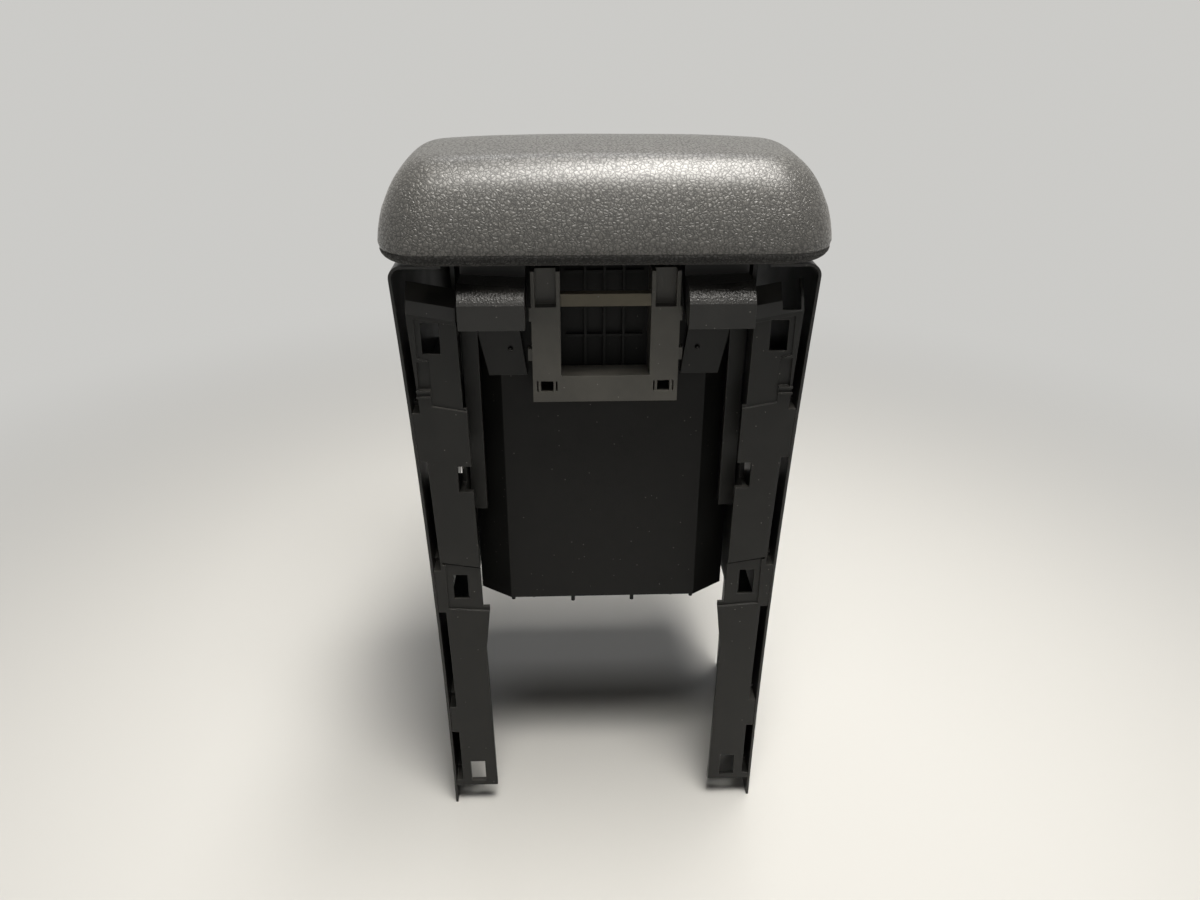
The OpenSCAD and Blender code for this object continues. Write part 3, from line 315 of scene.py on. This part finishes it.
wear_marks, group_in, group_out = new_group(
    "wear_marks",
    [("Vector", "NodeSocketVector", None), ("Facing", "NodeSocketVector", None),
     ("Specks per metre", "NodeSocketFloat", 260.0), ("Speck size", "NodeSocketFloat", 0.09)],
    [("Specks", "NodeSocketFloat"), ("Top dust and light", "NodeSocketFloat"), ("Scuffs", "NodeSocketFloat"),
     ("Patches", "NodeSocketFloat")])
speck = add(wear_marks, "ShaderNodeTexVoronoi", feature="F1")
join(wear_marks, group_in.outputs["Vector"], speck.inputs["Vector"])
join(wear_marks, group_in.outputs["Specks per metre"], speck.inputs["Scale"])
near = math_node(wear_marks, "LESS_THAN", speck.outputs["Distance"], group_in.outputs["Speck size"])
chance = add(wear_marks, "ShaderNodeSeparateColor")
join(wear_marks, speck.outputs["Color"], chance.inputs[0])
chosen = math_node(wear_marks, "GREATER_THAN", chance.outputs[0], SPECK_CHANCE)
join(wear_marks, times(wear_marks, near, chosen), group_out.inputs["Specks"])
upward = ramp(wear_marks, height_of(wear_marks, group_in.outputs["Facing"]), 0.35, 0.95)
cloud = add(wear_marks, "ShaderNodeTexNoise", Scale=38.0, Detail=4.0)
join(wear_marks, group_in.outputs["Vector"], cloud.inputs["Vector"])
patch = ramp(wear_marks, cloud.outputs["Fac"], 0.38, 0.66)
# A film of dust on the faces that look up, which is also a painted highlight on the tops.
join(wear_marks, times(wear_marks, upward, patch), group_out.inputs["Top dust and light"])
join(wear_marks, patch, group_out.inputs["Patches"])
print("group", wear_marks.name, "has specks and film")

# %% [markdown]
# Scuffs are thin and long. A noise that is squeezed hard along one direction gives such threads, and
# only its highest values are kept. They show in the cloudy patches and not everywhere.

# %% Group: wear marks, scuffs
stretch = add(wear_marks, "ShaderNodeMapping")
set_values(stretch, Scale=(60.0, 60.0, 900.0), Rotation=(0.5, 0.35, 0.2))
join(wear_marks, group_in.outputs["Vector"], stretch.inputs["Vector"])
thread = add(wear_marks, "ShaderNodeTexNoise", Scale=1.0, Detail=3.0, Roughness=0.7)
join(wear_marks, stretch.outputs[0], thread.inputs["Vector"])
scuff_line = ramp(wear_marks, thread.outputs["Fac"], 0.68, 0.74)
join(wear_marks, times(wear_marks, scuff_line, patch), group_out.inputs["Scuffs"])
print("group", wear_marks.name, "with", len(wear_marks.nodes), "nodes")

# %% [markdown]
# The plastic's colour. All the plastics of this part share one recipe: a dark colour that is a little
# uneven, with a painted highlight along the edges that also stands for wear, and dusty, where the dust
# on faces that look up is also a painted highlight on the tops. What sets them apart is how dark, how
# smooth and how coarse they are, so the recipe is a function with those values.

# %% Plastic: colour
DARKER, LIGHTER = 0.86, 1.12      # how far the tone wanders from the named colour
EDGE_BASE, EDGE_SHARE = 0.004, 0.7
DUST_AND_TOP_LIGHT_COLOUR = (0.24, 0.23, 0.21)


def plastic_colour(tree, marks, edges, colour, film_dust_and_light, specks, edge_light):
    """The colour of a plastic, and the mask of its dust, whose film on upward faces is also a painted
    highlight.
    """
    dark = tuple(c * DARKER for c in colour)
    light = tuple(min(1.0, c * LIGHTER) for c in colour)
    # Painted highlight along the edges, which also stands for light wear: the colour is lightened where the
    # bevel finds an edge.
    edge_lit_and_worn = tuple(min(1.0, c * edge_light + EDGE_BASE) for c in colour)
    tone = blend_colour(tree, marks.outputs["Patches"], dark, light)
    tone = blend_colour(tree, times(tree, edges.outputs["Edge"], EDGE_SHARE), tone, edge_lit_and_worn)
    # Dust on the faces that look up, also a painted highlight that lightens the tops.
    top_dust_and_light = times(tree, marks.outputs["Top dust and light"], film_dust_and_light)
    dotted = times(tree, marks.outputs["Specks"], specks)
    dust_and_top_light = math_node(tree, "MAXIMUM", top_dust_and_light, dotted)
    return blend_colour(tree, dust_and_top_light, tone, DUST_AND_TOP_LIGHT_COLOUR), dust_and_top_light


print("plastic colour ready")

# %% [markdown]
# The plastic's gloss. Roughness goes up in the patches, the scuffs and the dust. The frames are made
# a little smoother near their top, so a plastic can be polished above a certain height.

# %% Plastic: roughness
PATCH_ROUGH, PATCH_BASE, SCUFF_ROUGH, DUST_ROUGH = 0.07, 0.03, 0.10, 0.25
POLISH_FROM, POLISH_FULL = 0.330, 0.345


def plastic_roughness(tree, place, marks, dust_and_top_light, roughness, polish):
    """The roughness of a plastic, from its marks, its dust and its polished top."""
    rough = math_node(tree, "ADD", times(tree, marks.outputs["Patches"], PATCH_ROUGH), roughness - PATCH_BASE)
    rough = math_node(tree, "ADD", rough, times(tree, marks.outputs["Scuffs"], SCUFF_ROUGH))
    rough = math_node(tree, "ADD", rough, times(tree, dust_and_top_light, DUST_ROUGH), clamp=True)
    if polish:
        high = ramp(tree, height_of(tree, place.outputs["Object"]), POLISH_FROM, POLISH_FULL, 0.0, polish)
        rough = math_node(tree, "SUBTRACT", rough, high, clamp=True)
    return rough


print("plastic roughness ready")

# %% [markdown]
# The whole plastic. Its grain goes into a Bump node on top of the rounded edges. On the hoods the
# grain shows on the faces that look up and hardly on the upright ones, so a mask of the face's
# direction scales its height.

# %% Plastic: the whole recipe
UPRIGHT, LOOKS_UP = 0.30, 0.62


def plastic(name, colour, roughness, grain_depth, grain_size, edge=0.0004, film_dust_and_light=0.12, specks=0.5,
            edge_light=1.6, specular=0.5, side_grain=1.0, polish=0.0):
    """A black or grey moulded plastic with grain, soft edges with a painted highlight that also stands for
    wear, dust whose film on upward faces is also a painted highlight on the tops, and scuffs.
    """
    material, tree, shader, place = new_material(name)
    marks = place_group(tree, wear_marks)
    join(tree, place.outputs["Object"], marks.inputs["Vector"])
    join(tree, place.outputs["Normal"], marks.inputs["Facing"])
    edges = place_group(tree, soft_edges, Radius=edge)
    grain = place_group(tree, moulded_grain, Blisters_per_metre=grain_size)
    join(tree, place.outputs["Object"], grain.inputs["Vector"])
    tone, dust_and_top_light = plastic_colour(tree, marks, edges, colour, film_dust_and_light, specks, edge_light)
    join(tree, tone, shader.inputs["Base Color"])
    join(tree, plastic_roughness(tree, place, marks, dust_and_top_light, roughness, polish), shader.inputs["Roughness"])
    set_values(shader, Specular_IOR_Level=specular)
    bump = add(tree, "ShaderNodeBump", Strength=1.0, Distance=grain_depth)
    depth = ramp(tree, height_of(tree, place.outputs["Normal"]), UPRIGHT, LOOKS_UP, side_grain, 1.0)
    join(tree, times(tree, grain.outputs["Height"], depth), bump.inputs["Height"])
    join(tree, edges.outputs["Normal"], bump.inputs["Normal"])
    join(tree, bump.outputs[0], shader.inputs["Normal"])
    return material


print("plastic recipe ready")

# %% [markdown]
# The plastics. The frames and the bin are nearly black, the bracket is a dark warm grey and the
# cross bar is olive. The hoods and the outer panels have a grain, and the frames are smooth.

# %% Plastics
plastics = {
    "grained_plastic": plastic(
        "grained_plastic", (0.014, 0.0136, 0.0125), 0.34, 0.00020, 850.0,
        specular=0.4, side_grain=0.08, edge_light=2.0, film_dust_and_light=0.15),
    "black_plastic": plastic(
        "black_plastic", (0.010, 0.0098, 0.0088), 0.40, 0.000012, 1500.0,
        edge=0.0005, specular=0.3, polish=0.03, edge_light=2.4),
    "bin_plastic": plastic(
        "bin_plastic", (0.006, 0.006, 0.0056), 0.56, 0.00003, 1400.0,
        film_dust_and_light=0.08, specks=0.25, specular=0.2),
    "grey_plastic": plastic(
        "grey_plastic", (0.055, 0.052, 0.044), 0.40, 0.00003, 1500.0, edge_light=2.0),
    "bar_plastic": plastic("bar_plastic", (0.085, 0.073, 0.048), 0.50, 0.00002, 1500.0),
}
print("plastics:", sorted(plastics))

# %% [markdown]
# Metal. Pins and screws are zinc plated: metallic, with a soft brushed unevenness. Noise that is
# squeezed across the brushing direction gives the lines, and a broader noise gives dull stains.

# %% Metal
BRUSHING = (300.0, 2400.0, 2400.0)
STAIN_DARKER = 0.7
SMOOTHER, ROUGHER = 0.06, 0.08


def metal(name, colour, roughness):
    """Plated steel with a faint brushed grain."""
    material, tree, shader, place = new_material(name)
    edges = place_group(tree, soft_edges, Radius=0.0002)
    lines = add(tree, "ShaderNodeMapping")
    set_values(lines, Scale=BRUSHING)
    join(tree, place.outputs["Object"], lines.inputs["Vector"])
    brushed = add(tree, "ShaderNodeTexNoise", Scale=1.0, Detail=2.0)
    join(tree, lines.outputs[0], brushed.inputs["Vector"])
    stain = add(tree, "ShaderNodeTexNoise", Scale=220.0, Detail=3.0)
    join(tree, place.outputs["Object"], stain.inputs["Vector"])
    stained = tuple(c * STAIN_DARKER for c in colour)
    tone = blend_colour(tree, ramp(tree, stain.outputs["Fac"], 0.4, 0.7), colour, stained)
    join(tree, tone, shader.inputs["Base Color"])
    set_values(shader, Metallic=1.0)
    rough = ramp(tree, brushed.outputs["Fac"], 0.2, 0.8, roughness - SMOOTHER, roughness + ROUGHER)
    join(tree, rough, shader.inputs["Roughness"])
    bump = add(tree, "ShaderNodeBump", Strength=0.5, Distance=0.00001)
    join(tree, brushed.outputs["Fac"], bump.inputs["Height"])
    join(tree, edges.outputs["Normal"], bump.inputs["Normal"])
    join(tree, bump.outputs[0], shader.inputs["Normal"])
    return material


others = {
    "steel": metal("steel", (0.50, 0.49, 0.47), 0.34),
    "spring_steel": metal("spring_steel", (0.24, 0.235, 0.23), 0.38),
}
print("metals:", sorted(others))

# %% [markdown]
# Rubber and felt. The stops are matte rubber, and the mat on the bin's floor is a short felt. Both
# are a fine noise in colour, roughness and bump. The felt's fibres stand up, which the sheen gives.

# %% Rubber and felt
FIBRE_DARKER, FIBRE_LIGHTER, FIBRE_ROUGH = 0.6, 1.5, 0.05


def soft_black(name, colour, roughness, fibres, depth):
    """Rubber or felt: a matte colour with a fibrous or pitted bump."""
    material, tree, shader, place = new_material(name)
    fibre = add(tree, "ShaderNodeTexNoise", Scale=fibres, Detail=4.0, Roughness=0.7)
    join(tree, place.outputs["Object"], fibre.inputs["Vector"])
    deep = tuple(c * FIBRE_DARKER for c in colour)
    raised = tuple(c * FIBRE_LIGHTER for c in colour)
    join(tree, blend_colour(tree, fibre.outputs["Fac"], deep, raised), shader.inputs["Base Color"])
    rough = ramp(tree, fibre.outputs["Fac"], 0.3, 0.7, roughness - FIBRE_ROUGH, roughness + FIBRE_ROUGH)
    join(tree, rough, shader.inputs["Roughness"])
    bump = add(tree, "ShaderNodeBump", Strength=0.8, Distance=depth)
    join(tree, fibre.outputs["Fac"], bump.inputs["Height"])
    join(tree, bump.outputs[0], shader.inputs["Normal"])
    return material


others["rubber"] = soft_black("rubber", (0.016, 0.016, 0.016), 0.75, 900.0, 0.00004)
others["mat"] = soft_black("mat", (0.022, 0.022, 0.023), 0.90, 2600.0, 0.00025)
set_values(others["mat"].node_tree.nodes["Principled BSDF"], Sheen_Weight=0.3)
print("other finishes:", sorted(others))

# %% [markdown]
# Dressing the frame. The record says which material slot each node belongs to, so every CAD node
# gets the finish of its slot. The pad's slot has none here, because a cover replaces it below.

# %% Materials on the CAD nodes
finishes = {**plastics, **others}
for part in frame["record"]["subparts"]:
    finish = finishes.get(part["material_slot"])
    if finish is None:
        continue
    mesh = nodes[part["node"]].data
    mesh.materials.clear()
    mesh.materials.append(finish)
print("dressed", sum(1 for n in nodes.values() if n.data.materials))

# %% [markdown]
# The leather's colour. Black leatherette is a dark warm grey on the pebbles, and the creases get a
# painted shade that makes them nearly black. Under the fold of its lower edge the cover gets a
# painted shade, and a few specks of dust lie on it.

# %% Leather: colour
FOLD_LOW, FOLD_HIGH = 0.3974, 0.3988
PAINTED_CREASE_SHADE, SPECK_LIGHT = 0.75, 0.22
PEBBLE_DARK, PEBBLE_LIGHT = (0.042, 0.039, 0.033), (0.053, 0.0495, 0.042)
CREASE_SHADE_COLOUR, FOLD_SHADE_COLOUR = (0.008, 0.0075, 0.0065), (0.008, 0.0076, 0.0068)
SPECK_COLOUR = (0.25, 0.24, 0.22)

cover_finish, tree, shader, place = new_material("cover")
grain = place_group(tree, pebble_grain, Cells_per_metre=465.0, Bend=0.0028)
join(tree, place.outputs["Object"], grain.inputs["Vector"])
marks = place_group(tree, wear_marks, Specks_per_metre=330.0, Speck_size=0.07)
join(tree, place.outputs["Object"], marks.inputs["Vector"])
join(tree, place.outputs["Normal"], marks.inputs["Facing"])
place_height = height_of(tree, place.outputs["Object"])
under = ramp(tree, place_height, FOLD_LOW, FOLD_HIGH, 1.0, 0.0)
tone = blend_colour(tree, marks.outputs["Patches"], PEBBLE_DARK, PEBBLE_LIGHT)
# Painted shade in the creases: the colour goes nearly black there.
tone = blend_colour(tree, times(tree, grain.outputs["Crease"], PAINTED_CREASE_SHADE), tone, CREASE_SHADE_COLOUR)
# Painted shade under the fold of the lower edge.
tone = blend_colour(tree, under, tone, FOLD_SHADE_COLOUR)
tone = blend_colour(tree, times(tree, marks.outputs["Specks"], SPECK_LIGHT), tone, SPECK_COLOUR)
join(tree, tone, shader.inputs["Base Color"])
print("leather colour ready")

# %% [markdown]
# The leather's gloss. It isn't mirror smooth and not matte: it has a satin gloss that breaks up on
# the pebbles. The creases are rougher, and the varnish over the leather is a coat that is thick on
# the pebbles, thin in the creases and missing under the fold. A faint warm sheen does the rest.

# %% Leather: gloss
PATCH_ROUGHER, FOLD_ROUGHER, CREASE_ROUGHER = 0.04, 0.35, 0.25
VARNISH, VARNISH_LOST = 0.80, 0.50

rough = ramp(tree, grain.outputs["Height"], 0.1, 0.8, 0.46, 0.34)
rough = math_node(tree, "ADD", rough, times(tree, marks.outputs["Patches"], PATCH_ROUGHER), clamp=True)
rough = math_node(tree, "ADD", rough, times(tree, under, FOLD_ROUGHER))
rough = math_node(tree, "ADD", rough, times(tree, grain.outputs["Crease"], CREASE_ROUGHER), clamp=True)
join(tree, rough, shader.inputs["Roughness"])
varnish = ramp(tree, place_height, FOLD_LOW, FOLD_HIGH, 0.0, VARNISH)
on_pebbles = math_node(tree, "SUBTRACT", 1.0, times(tree, grain.outputs["Crease"], VARNISH_LOST))
join(tree, times(tree, varnish, on_pebbles), shader.inputs["Coat Weight"])
set_values(shader, Specular_IOR_Level=0.5, Coat_Roughness=0.38, Coat_IOR=1.72, Sheen_Weight=0.08,
           Sheen_Roughness=0.45, Sheen_Tint=(1.0, 0.96, 0.90, 1.0))
print("leather gloss ready")

# %% [markdown]
# The leather's relief. Two Bump nodes follow each other: a broad, very low wave, because foam is
# never quite even, and on top of it the grain.

# %% Leather: relief
wave = add(tree, "ShaderNodeTexNoise", Scale=55.0, Detail=2.0)
join(tree, place.outputs["Object"], wave.inputs["Vector"])
broad = add(tree, "ShaderNodeBump", Strength=1.0, Distance=0.00015)
join(tree, wave.outputs["Fac"], broad.inputs["Height"])
bump = add(tree, "ShaderNodeBump", Strength=1.0, Distance=0.00044)
join(tree, grain.outputs["Height"], bump.inputs["Height"])
join(tree, broad.outputs[0], bump.inputs["Normal"])
join(tree, bump.outputs[0], shader.inputs["Normal"])
print("leather ready")

# %% [markdown]
# The lid cover. The pad is moulded foam with the leatherette stretched tight over it, so it has no
# loose folds: a crowned top that falls towards the front, big soft edges, sides that pull in and a
# crease where the cover turns under. It is lofted from closed rings with the solid pad's own sizes,
# and it isn't simulated, so that it keeps them. First come its outline and its top.

# %% Lid cover: outline and top
LID_W, LID_L = 0.241, 0.247
PAD_Z, PAD_H = 0.3914, 0.055
FRONT_DROP, REAR_DROP, CROWN, CROWN_Y = 0.026, 0.003, 0.005, 0.073
FALL_POWER, CROWN_POWER = 1.2, 3
UNDER_R, CORNER_R, LEAST_CORNER_R = 0.007, 0.027, 0.014
CORNER_STEPS, SIDE_STEPS = 18, 26
TOP = PAD_H - UNDER_R


def outline(inset):
    """Points of the rounded outline, set in by some distance, counter-clockwise."""
    a, b = LID_W / 2 - inset, LID_L / 2 - inset
    r = min(max(CORNER_R - inset / 2, LEAST_CORNER_R), a - 1e-5)
    quarters = ((1, 1), (-1, 1), (-1, -1), (1, -1))

    def on_corner(quarter, degrees):
        sx, sy = quarters[quarter % 4]
        angle = math.radians(degrees)
        return sx * (a - r) + r * math.cos(angle), sy * (b - r) + r * math.sin(angle)

    points = []
    for quarter in range(4):
        points += [on_corner(quarter, 90 * quarter + 90 * i / CORNER_STEPS) for i in range(CORNER_STEPS + 1)]
        start, end = points[-1], on_corner(quarter + 1, 90 * (quarter + 1))
        for i in range(1, SIDE_STEPS):
            k = i / SIDE_STEPS
            points.append((start[0] + (end[0] - start[0]) * k, start[1] + (end[1] - start[1]) * k))
    return points


def top_height(x, y):
    """Height of the pad's top above the under radius."""
    t = (y + LID_L / 2 - CROWN_Y) / (LID_L - CROWN_Y)
    if t > 0:
        fall = FRONT_DROP * t ** FALL_POWER
    else:
        fall = REAR_DROP * (t * (LID_L - CROWN_Y) / CROWN_Y) ** 2
    return TOP - fall - CROWN * abs(2 * x / LID_W) ** CROWN_POWER


print("outline has", len(outline(0.0)), "points")

# %% [markdown]
# The rings, from the inside of the underside, round the lower edge, past the crease, up the side
# and over the shoulder to the middle of the top. The shoulder is a squarish quarter curve: its
# power of 2.2 lies between a circle's 2 and a box's infinity.

# %% Lid cover: rings
EDGE_IN, DRAFT, EDGE_POWER = 0.028, 0.0032, 2.2
WRAP, RECESS = 0.016, 0.010
LOWER_EDGE = ((WRAP, RECESS), (WRAP, 0.004), (WRAP, 0.0006), (WRAP - 0.001, 0.0), (0.0110, 0.0),
              (UNDER_R, 0.0), (0.0052, 0.0005), (0.0036, 0.0013), (0.0022, 0.0026), (0.0012, 0.0042),
              (0.0008, 0.0056), (0.0010, 0.0063), (0.0013, 0.0066), (0.0009, 0.0069))
SHOULDER_RINGS, TOP_RINGS, TOP_SPREAD, MIDDLE_LEFT = 32, 18, 1.7, 0.006

rings = [[(x, y, z) for x, y in outline(inset)] for inset, z in LOWER_EDGE]
for i in range(1, SHOULDER_RINGS + 1):
    angle = math.radians(90 * i / SHOULDER_RINGS)
    rise = math.sin(angle) ** (2 / EDGE_POWER)
    turn = 1 - max(0.0, math.cos(angle)) ** (2 / EDGE_POWER)
    inset = (EDGE_IN - DRAFT) * turn + DRAFT * rise
    rings.append([(x, y, UNDER_R + top_height(x, y) * rise) for x, y in outline(inset)])
for i in range(1, TOP_RINGS + 1):
    inset = EDGE_IN + (LID_W / 2 - MIDDLE_LEFT - EDGE_IN) * (i / TOP_RINGS) ** TOP_SPREAD
    rings.append([(x, y, UNDER_R + top_height(x, y)) for x, y in outline(inset)])
print("lid cover:", len(rings), "rings of", len(rings[0]), "points")

# %% [markdown]
# Both soft pieces are skins over a stack of rings, so one helper closes them: a band of faces
# between each two rings, and one face at either end.

# %% Helpers: skin over rings
def skin(shell, vert_rings):
    """Faces between each ring of vertices and the next, and a face over the last and the first."""
    count = len(vert_rings[0])
    for low_ring, high_ring in zip(vert_rings, vert_rings[1:]):
        for i in range(count):
            j = (i + 1) % count
            shell.faces.new((low_ring[i], low_ring[j], high_ring[j], high_ring[i]))
    shell.faces.new(vert_rings[-1])
    shell.faces.new(list(reversed(vert_rings[0])))


def finish_piece(name, shell, finish):
    """A smooth shaded object from a bmesh, with its finish."""
    for face in shell.faces:
        face.smooth = True
    mesh = bpy.data.meshes.new(name)
    shell.to_mesh(mesh)
    shell.free()
    piece = bpy.data.objects.new(name, mesh)
    scene.collection.objects.link(piece)
    mesh.materials.append(finish)
    return piece


print("skin helpers ready")

# %% [markdown]
# The cover's mesh. A faint noise lifts the top, so that it isn't machine flat, and a few rounds of
# smoothing soften the line where the shoulder's rings meet the top's. The cover rides on the lid and
# takes the place of the solid pad.

# %% Lid cover: mesh
NOISE_FROM, NOISE_SCALE, NOISE_LIFT = 0.009, 26.0, 0.0004
SMOOTHED_SHARE, SMOOTH_ROUNDS = 0.5, 10

shell = bmesh.new()
skin(shell, [[shell.verts.new((x, y, z + PAD_Z)) for x, y, z in ring] for ring in rings])
for vert in shell.verts:
    if vert.co.z > PAD_Z + NOISE_FROM:
        vert.co += Vector((0, 0, noise.noise(vert.co * NOISE_SCALE) * NOISE_LIFT))
shoulder = [vert for vert in shell.verts if vert.co.z > PAD_Z + SMOOTHED_SHARE * PAD_H]
for _ in range(SMOOTH_ROUNDS):
    bmesh.ops.smooth_vert(shell, verts=shoulder, factor=0.5, use_axis_x=True, use_axis_y=True, use_axis_z=True)
shell.normal_update()
lid_cover = finish_piece("lid_cover", shell, cover_finish)
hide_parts("lid_pad")
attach(lid_cover, "lid")
print("lid cover:", len(lid_cover.data.polygons), "faces")

# %% [markdown]
# The mat in the bin. It is a piece of short felt cut to the bin's floor, with cut rear corners. Its
# outline comes from the box of the solid mat, with points close enough for the felt to be uneven.

# %% Bin mat: outline
MAT_CUT, MAT_REAR_HALF = 0.0119, 0.0591
POINT_STEP, LEAST_STEPS = 0.004, 4

mat_low, mat_high = (Vector(corner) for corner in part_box("bin_mat"))
mat_middle = (mat_low + mat_high) / 2
corners = [(mat_low.x, mat_high.y), (mat_low.x, mat_low.y + MAT_CUT), (-MAT_REAR_HALF, mat_low.y),
           (MAT_REAR_HALF, mat_low.y), (mat_high.x, mat_low.y + MAT_CUT), (mat_high.x, mat_high.y)]
mat_sides = list(zip(corners, corners[1:] + corners[:1]))
edge_points = []
for (x0, y0), (x1, y1) in mat_sides:
    steps = max(LEAST_STEPS, round(math.dist((x0, y0), (x1, y1)) / POINT_STEP))
    edge_points += [(x0 + (x1 - x0) * i / steps, y0 + (y1 - y0) * i / steps) for i in range(steps)]

# %% [markdown]
# The mat's mesh. Four rings make its soft cut edge, and rings that shrink towards the middle make
# its top, which a little noise keeps from being quite flat. It is a sheet that lies on the bin's floor.

# %% Bin mat: mesh
FELT_RINGS, FELT_SCALE, FELT_LIFT, FELT_SINK = 16, 45.0, 0.0003, 0.0001

levels = [(0.996, mat_low.z), (1.0, mat_low.z + 0.0004), (1.0, mat_high.z - 0.0005),
          (0.996, mat_high.z - 0.0001)]
levels += [(0.99 - 0.98 * i / FELT_RINGS, mat_high.z) for i in range(FELT_RINGS + 1)]
felt = bmesh.new()
felt_rings = []
for shrink, level in levels:
    ring = []
    for x, y in edge_points:
        point = Vector((mat_middle.x + (x - mat_middle.x) * shrink,
                        mat_middle.y + (y - mat_middle.y) * shrink, level))
        if level == mat_high.z:
            point.z += FELT_LIFT * noise.noise(point * FELT_SCALE) - FELT_SINK
        ring.append(felt.verts.new(point))
    felt_rings.append(ring)
skin(felt, felt_rings)
bmesh.ops.recalc_face_normals(felt, faces=felt.faces)
bin_felt = finish_piece("bin_felt", felt, others["mat"])
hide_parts("bin_mat")
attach(bin_felt, "box")
print("bin mat:", len(bin_felt.data.polygons), "faces")

# %% [markdown]
# The floor. A plain pale sheet carries the object's shadow. Far from the object it fades to one even
# tone, so that no horizon shows. That fade is an emission that only the camera and the rays sent on
# by gloss or glass see, which keeps it from lighting the object. The sky below uses the same rays.

# %% Floor
PALE = (0.60, 0.595, 0.575)
FLOOR_RADIUS, FLOOR_SIDES = 30.0, 96
FADE_FROM, FADE_TO = 0.35, 1.1


def background_rays(tree):
    """One for the rays that show the background: the camera's, and those that gloss or glass sends on."""
    path = add(tree, "ShaderNodeLightPath")
    shown = math_node(tree, "ADD", path.outputs["Is Camera Ray"], path.outputs["Is Glossy Ray"], clamp=True)
    return math_node(tree, "ADD", shown, path.outputs["Is Transmission Ray"], clamp=True)


floor_mesh = bpy.data.meshes.new("floor")
plane = bmesh.new()
bmesh.ops.create_circle(plane, cap_ends=True, radius=FLOOR_RADIUS, segments=FLOOR_SIDES)
plane.to_mesh(floor_mesh)
plane.free()
floor = bpy.data.objects.new("floor", floor_mesh)
scene.collection.objects.link(floor)
floor_finish = bpy.data.materials.new("floor")
floor_finish.use_nodes = True
tree = floor_finish.node_tree
tree.nodes.clear()
out = add(tree, "ShaderNodeOutputMaterial")
sheet = add(tree, "ShaderNodeBsdfDiffuse", Color=rgba(PALE))
even = add(tree, "ShaderNodeEmission", Color=rgba(PALE), Strength=1.0)
place = add(tree, "ShaderNodeTexCoord")
distance = add(tree, "ShaderNodeVectorMath", operation="LENGTH")
join(tree, place.outputs["Object"], distance.inputs[0])
far = ramp(tree, distance.outputs["Value"], FADE_FROM, FADE_TO)
mix = add(tree, "ShaderNodeMixShader")
join(tree, times(tree, far, background_rays(tree)), mix.inputs[0])
join(tree, sheet.outputs[0], mix.inputs[1])
join(tree, even.outputs[0], mix.inputs[2])
join(tree, mix.outputs[0], out.inputs[0])
floor_mesh.materials.append(floor_finish)
print("floor ready")

# %% [markdown]
# The sky. It shows the floor's pale tone to the camera and in reflections, and lights the object only
# dimly, so that the lamps decide how it looks.

# %% World
SKY_TINT, SKY_LIGHT = (1.0, 0.985, 0.96), 0.035

world = bpy.data.worlds.new("sky")
scene.world = world
world.use_nodes = True
tree = world.node_tree
tree.nodes.clear()
out = add(tree, "ShaderNodeOutputWorld")
dim = add(tree, "ShaderNodeBackground", Color=rgba(SKY_TINT), Strength=SKY_LIGHT)
pale = add(tree, "ShaderNodeBackground", Color=rgba(PALE), Strength=1.0)
mix = add(tree, "ShaderNodeMixShader")
join(tree, background_rays(tree), mix.inputs[0])
join(tree, dim.outputs[0], mix.inputs[1])
join(tree, pale.outputs[0], mix.inputs[2])
join(tree, mix.outputs[0], out.inputs[0])
print("sky ready")

# %% [markdown]
# The lamps. The photograph's light seems to come from almost overhead: it puts the long highlight on
# the pad's shoulder and drops the shadow below. A key lamp above the camera lights the rear faces, and
# weak lamps low behind the camera, at each side and at the front keep the dark plastic readable.

# %% Lamps
WARM, COOL, COOLER = (1.0, 0.97, 0.92), (0.97, 0.98, 1.0), (0.96, 0.98, 1.0)
LID_REAR = (0.0, -0.11, 0.38)


def lamp(name, place, target, size, watts, spread, colour=WARM):
    """A rectangular soft lamp that looks at a target."""
    data = bpy.data.lights.new(name, "AREA")
    data.shape = "RECTANGLE"
    data.size, data.size_y = size
    data.energy = watts
    data.spread = math.radians(spread)
    data.color = colour
    lamp_object = bpy.data.objects.new(name, data)
    scene.collection.objects.link(lamp_object)
    lamp_object.location = place
    direction = Vector(target) - Vector(place)
    lamp_object.rotation_euler = direction.to_track_quat("-Z", "Y").to_euler()


lamp("overhead", (0.20, -0.16, 1.90), (0.04, -0.11, 0.38), (1.1, 0.36), 12.5, 110)
lamp("key", (0.18, -0.66, 1.80), (0.03, -0.11, 0.38), (0.9, 0.40), 6.2, 100)
lamp("low", (0.10, -1.90, 1.15), LID_REAR, (0.9, 0.9), 1.2, 140)
lamp("side_left", (-1.5, -0.9, 0.9), (0.0, 0.0, 0.2), (0.7, 0.9), 0.25, 180, COOLER)
lamp("side_right", (1.5, -0.9, 1.0), (0.0, 0.0, 0.2), (0.7, 0.9), 0.6, 180)
lamp("front", (0.0, 0.9, 1.7), (0.0, 0.0, 0.25), (0.9, 0.4), 3.0, 140, COOL)
scene.view_settings.view_transform = "Standard"
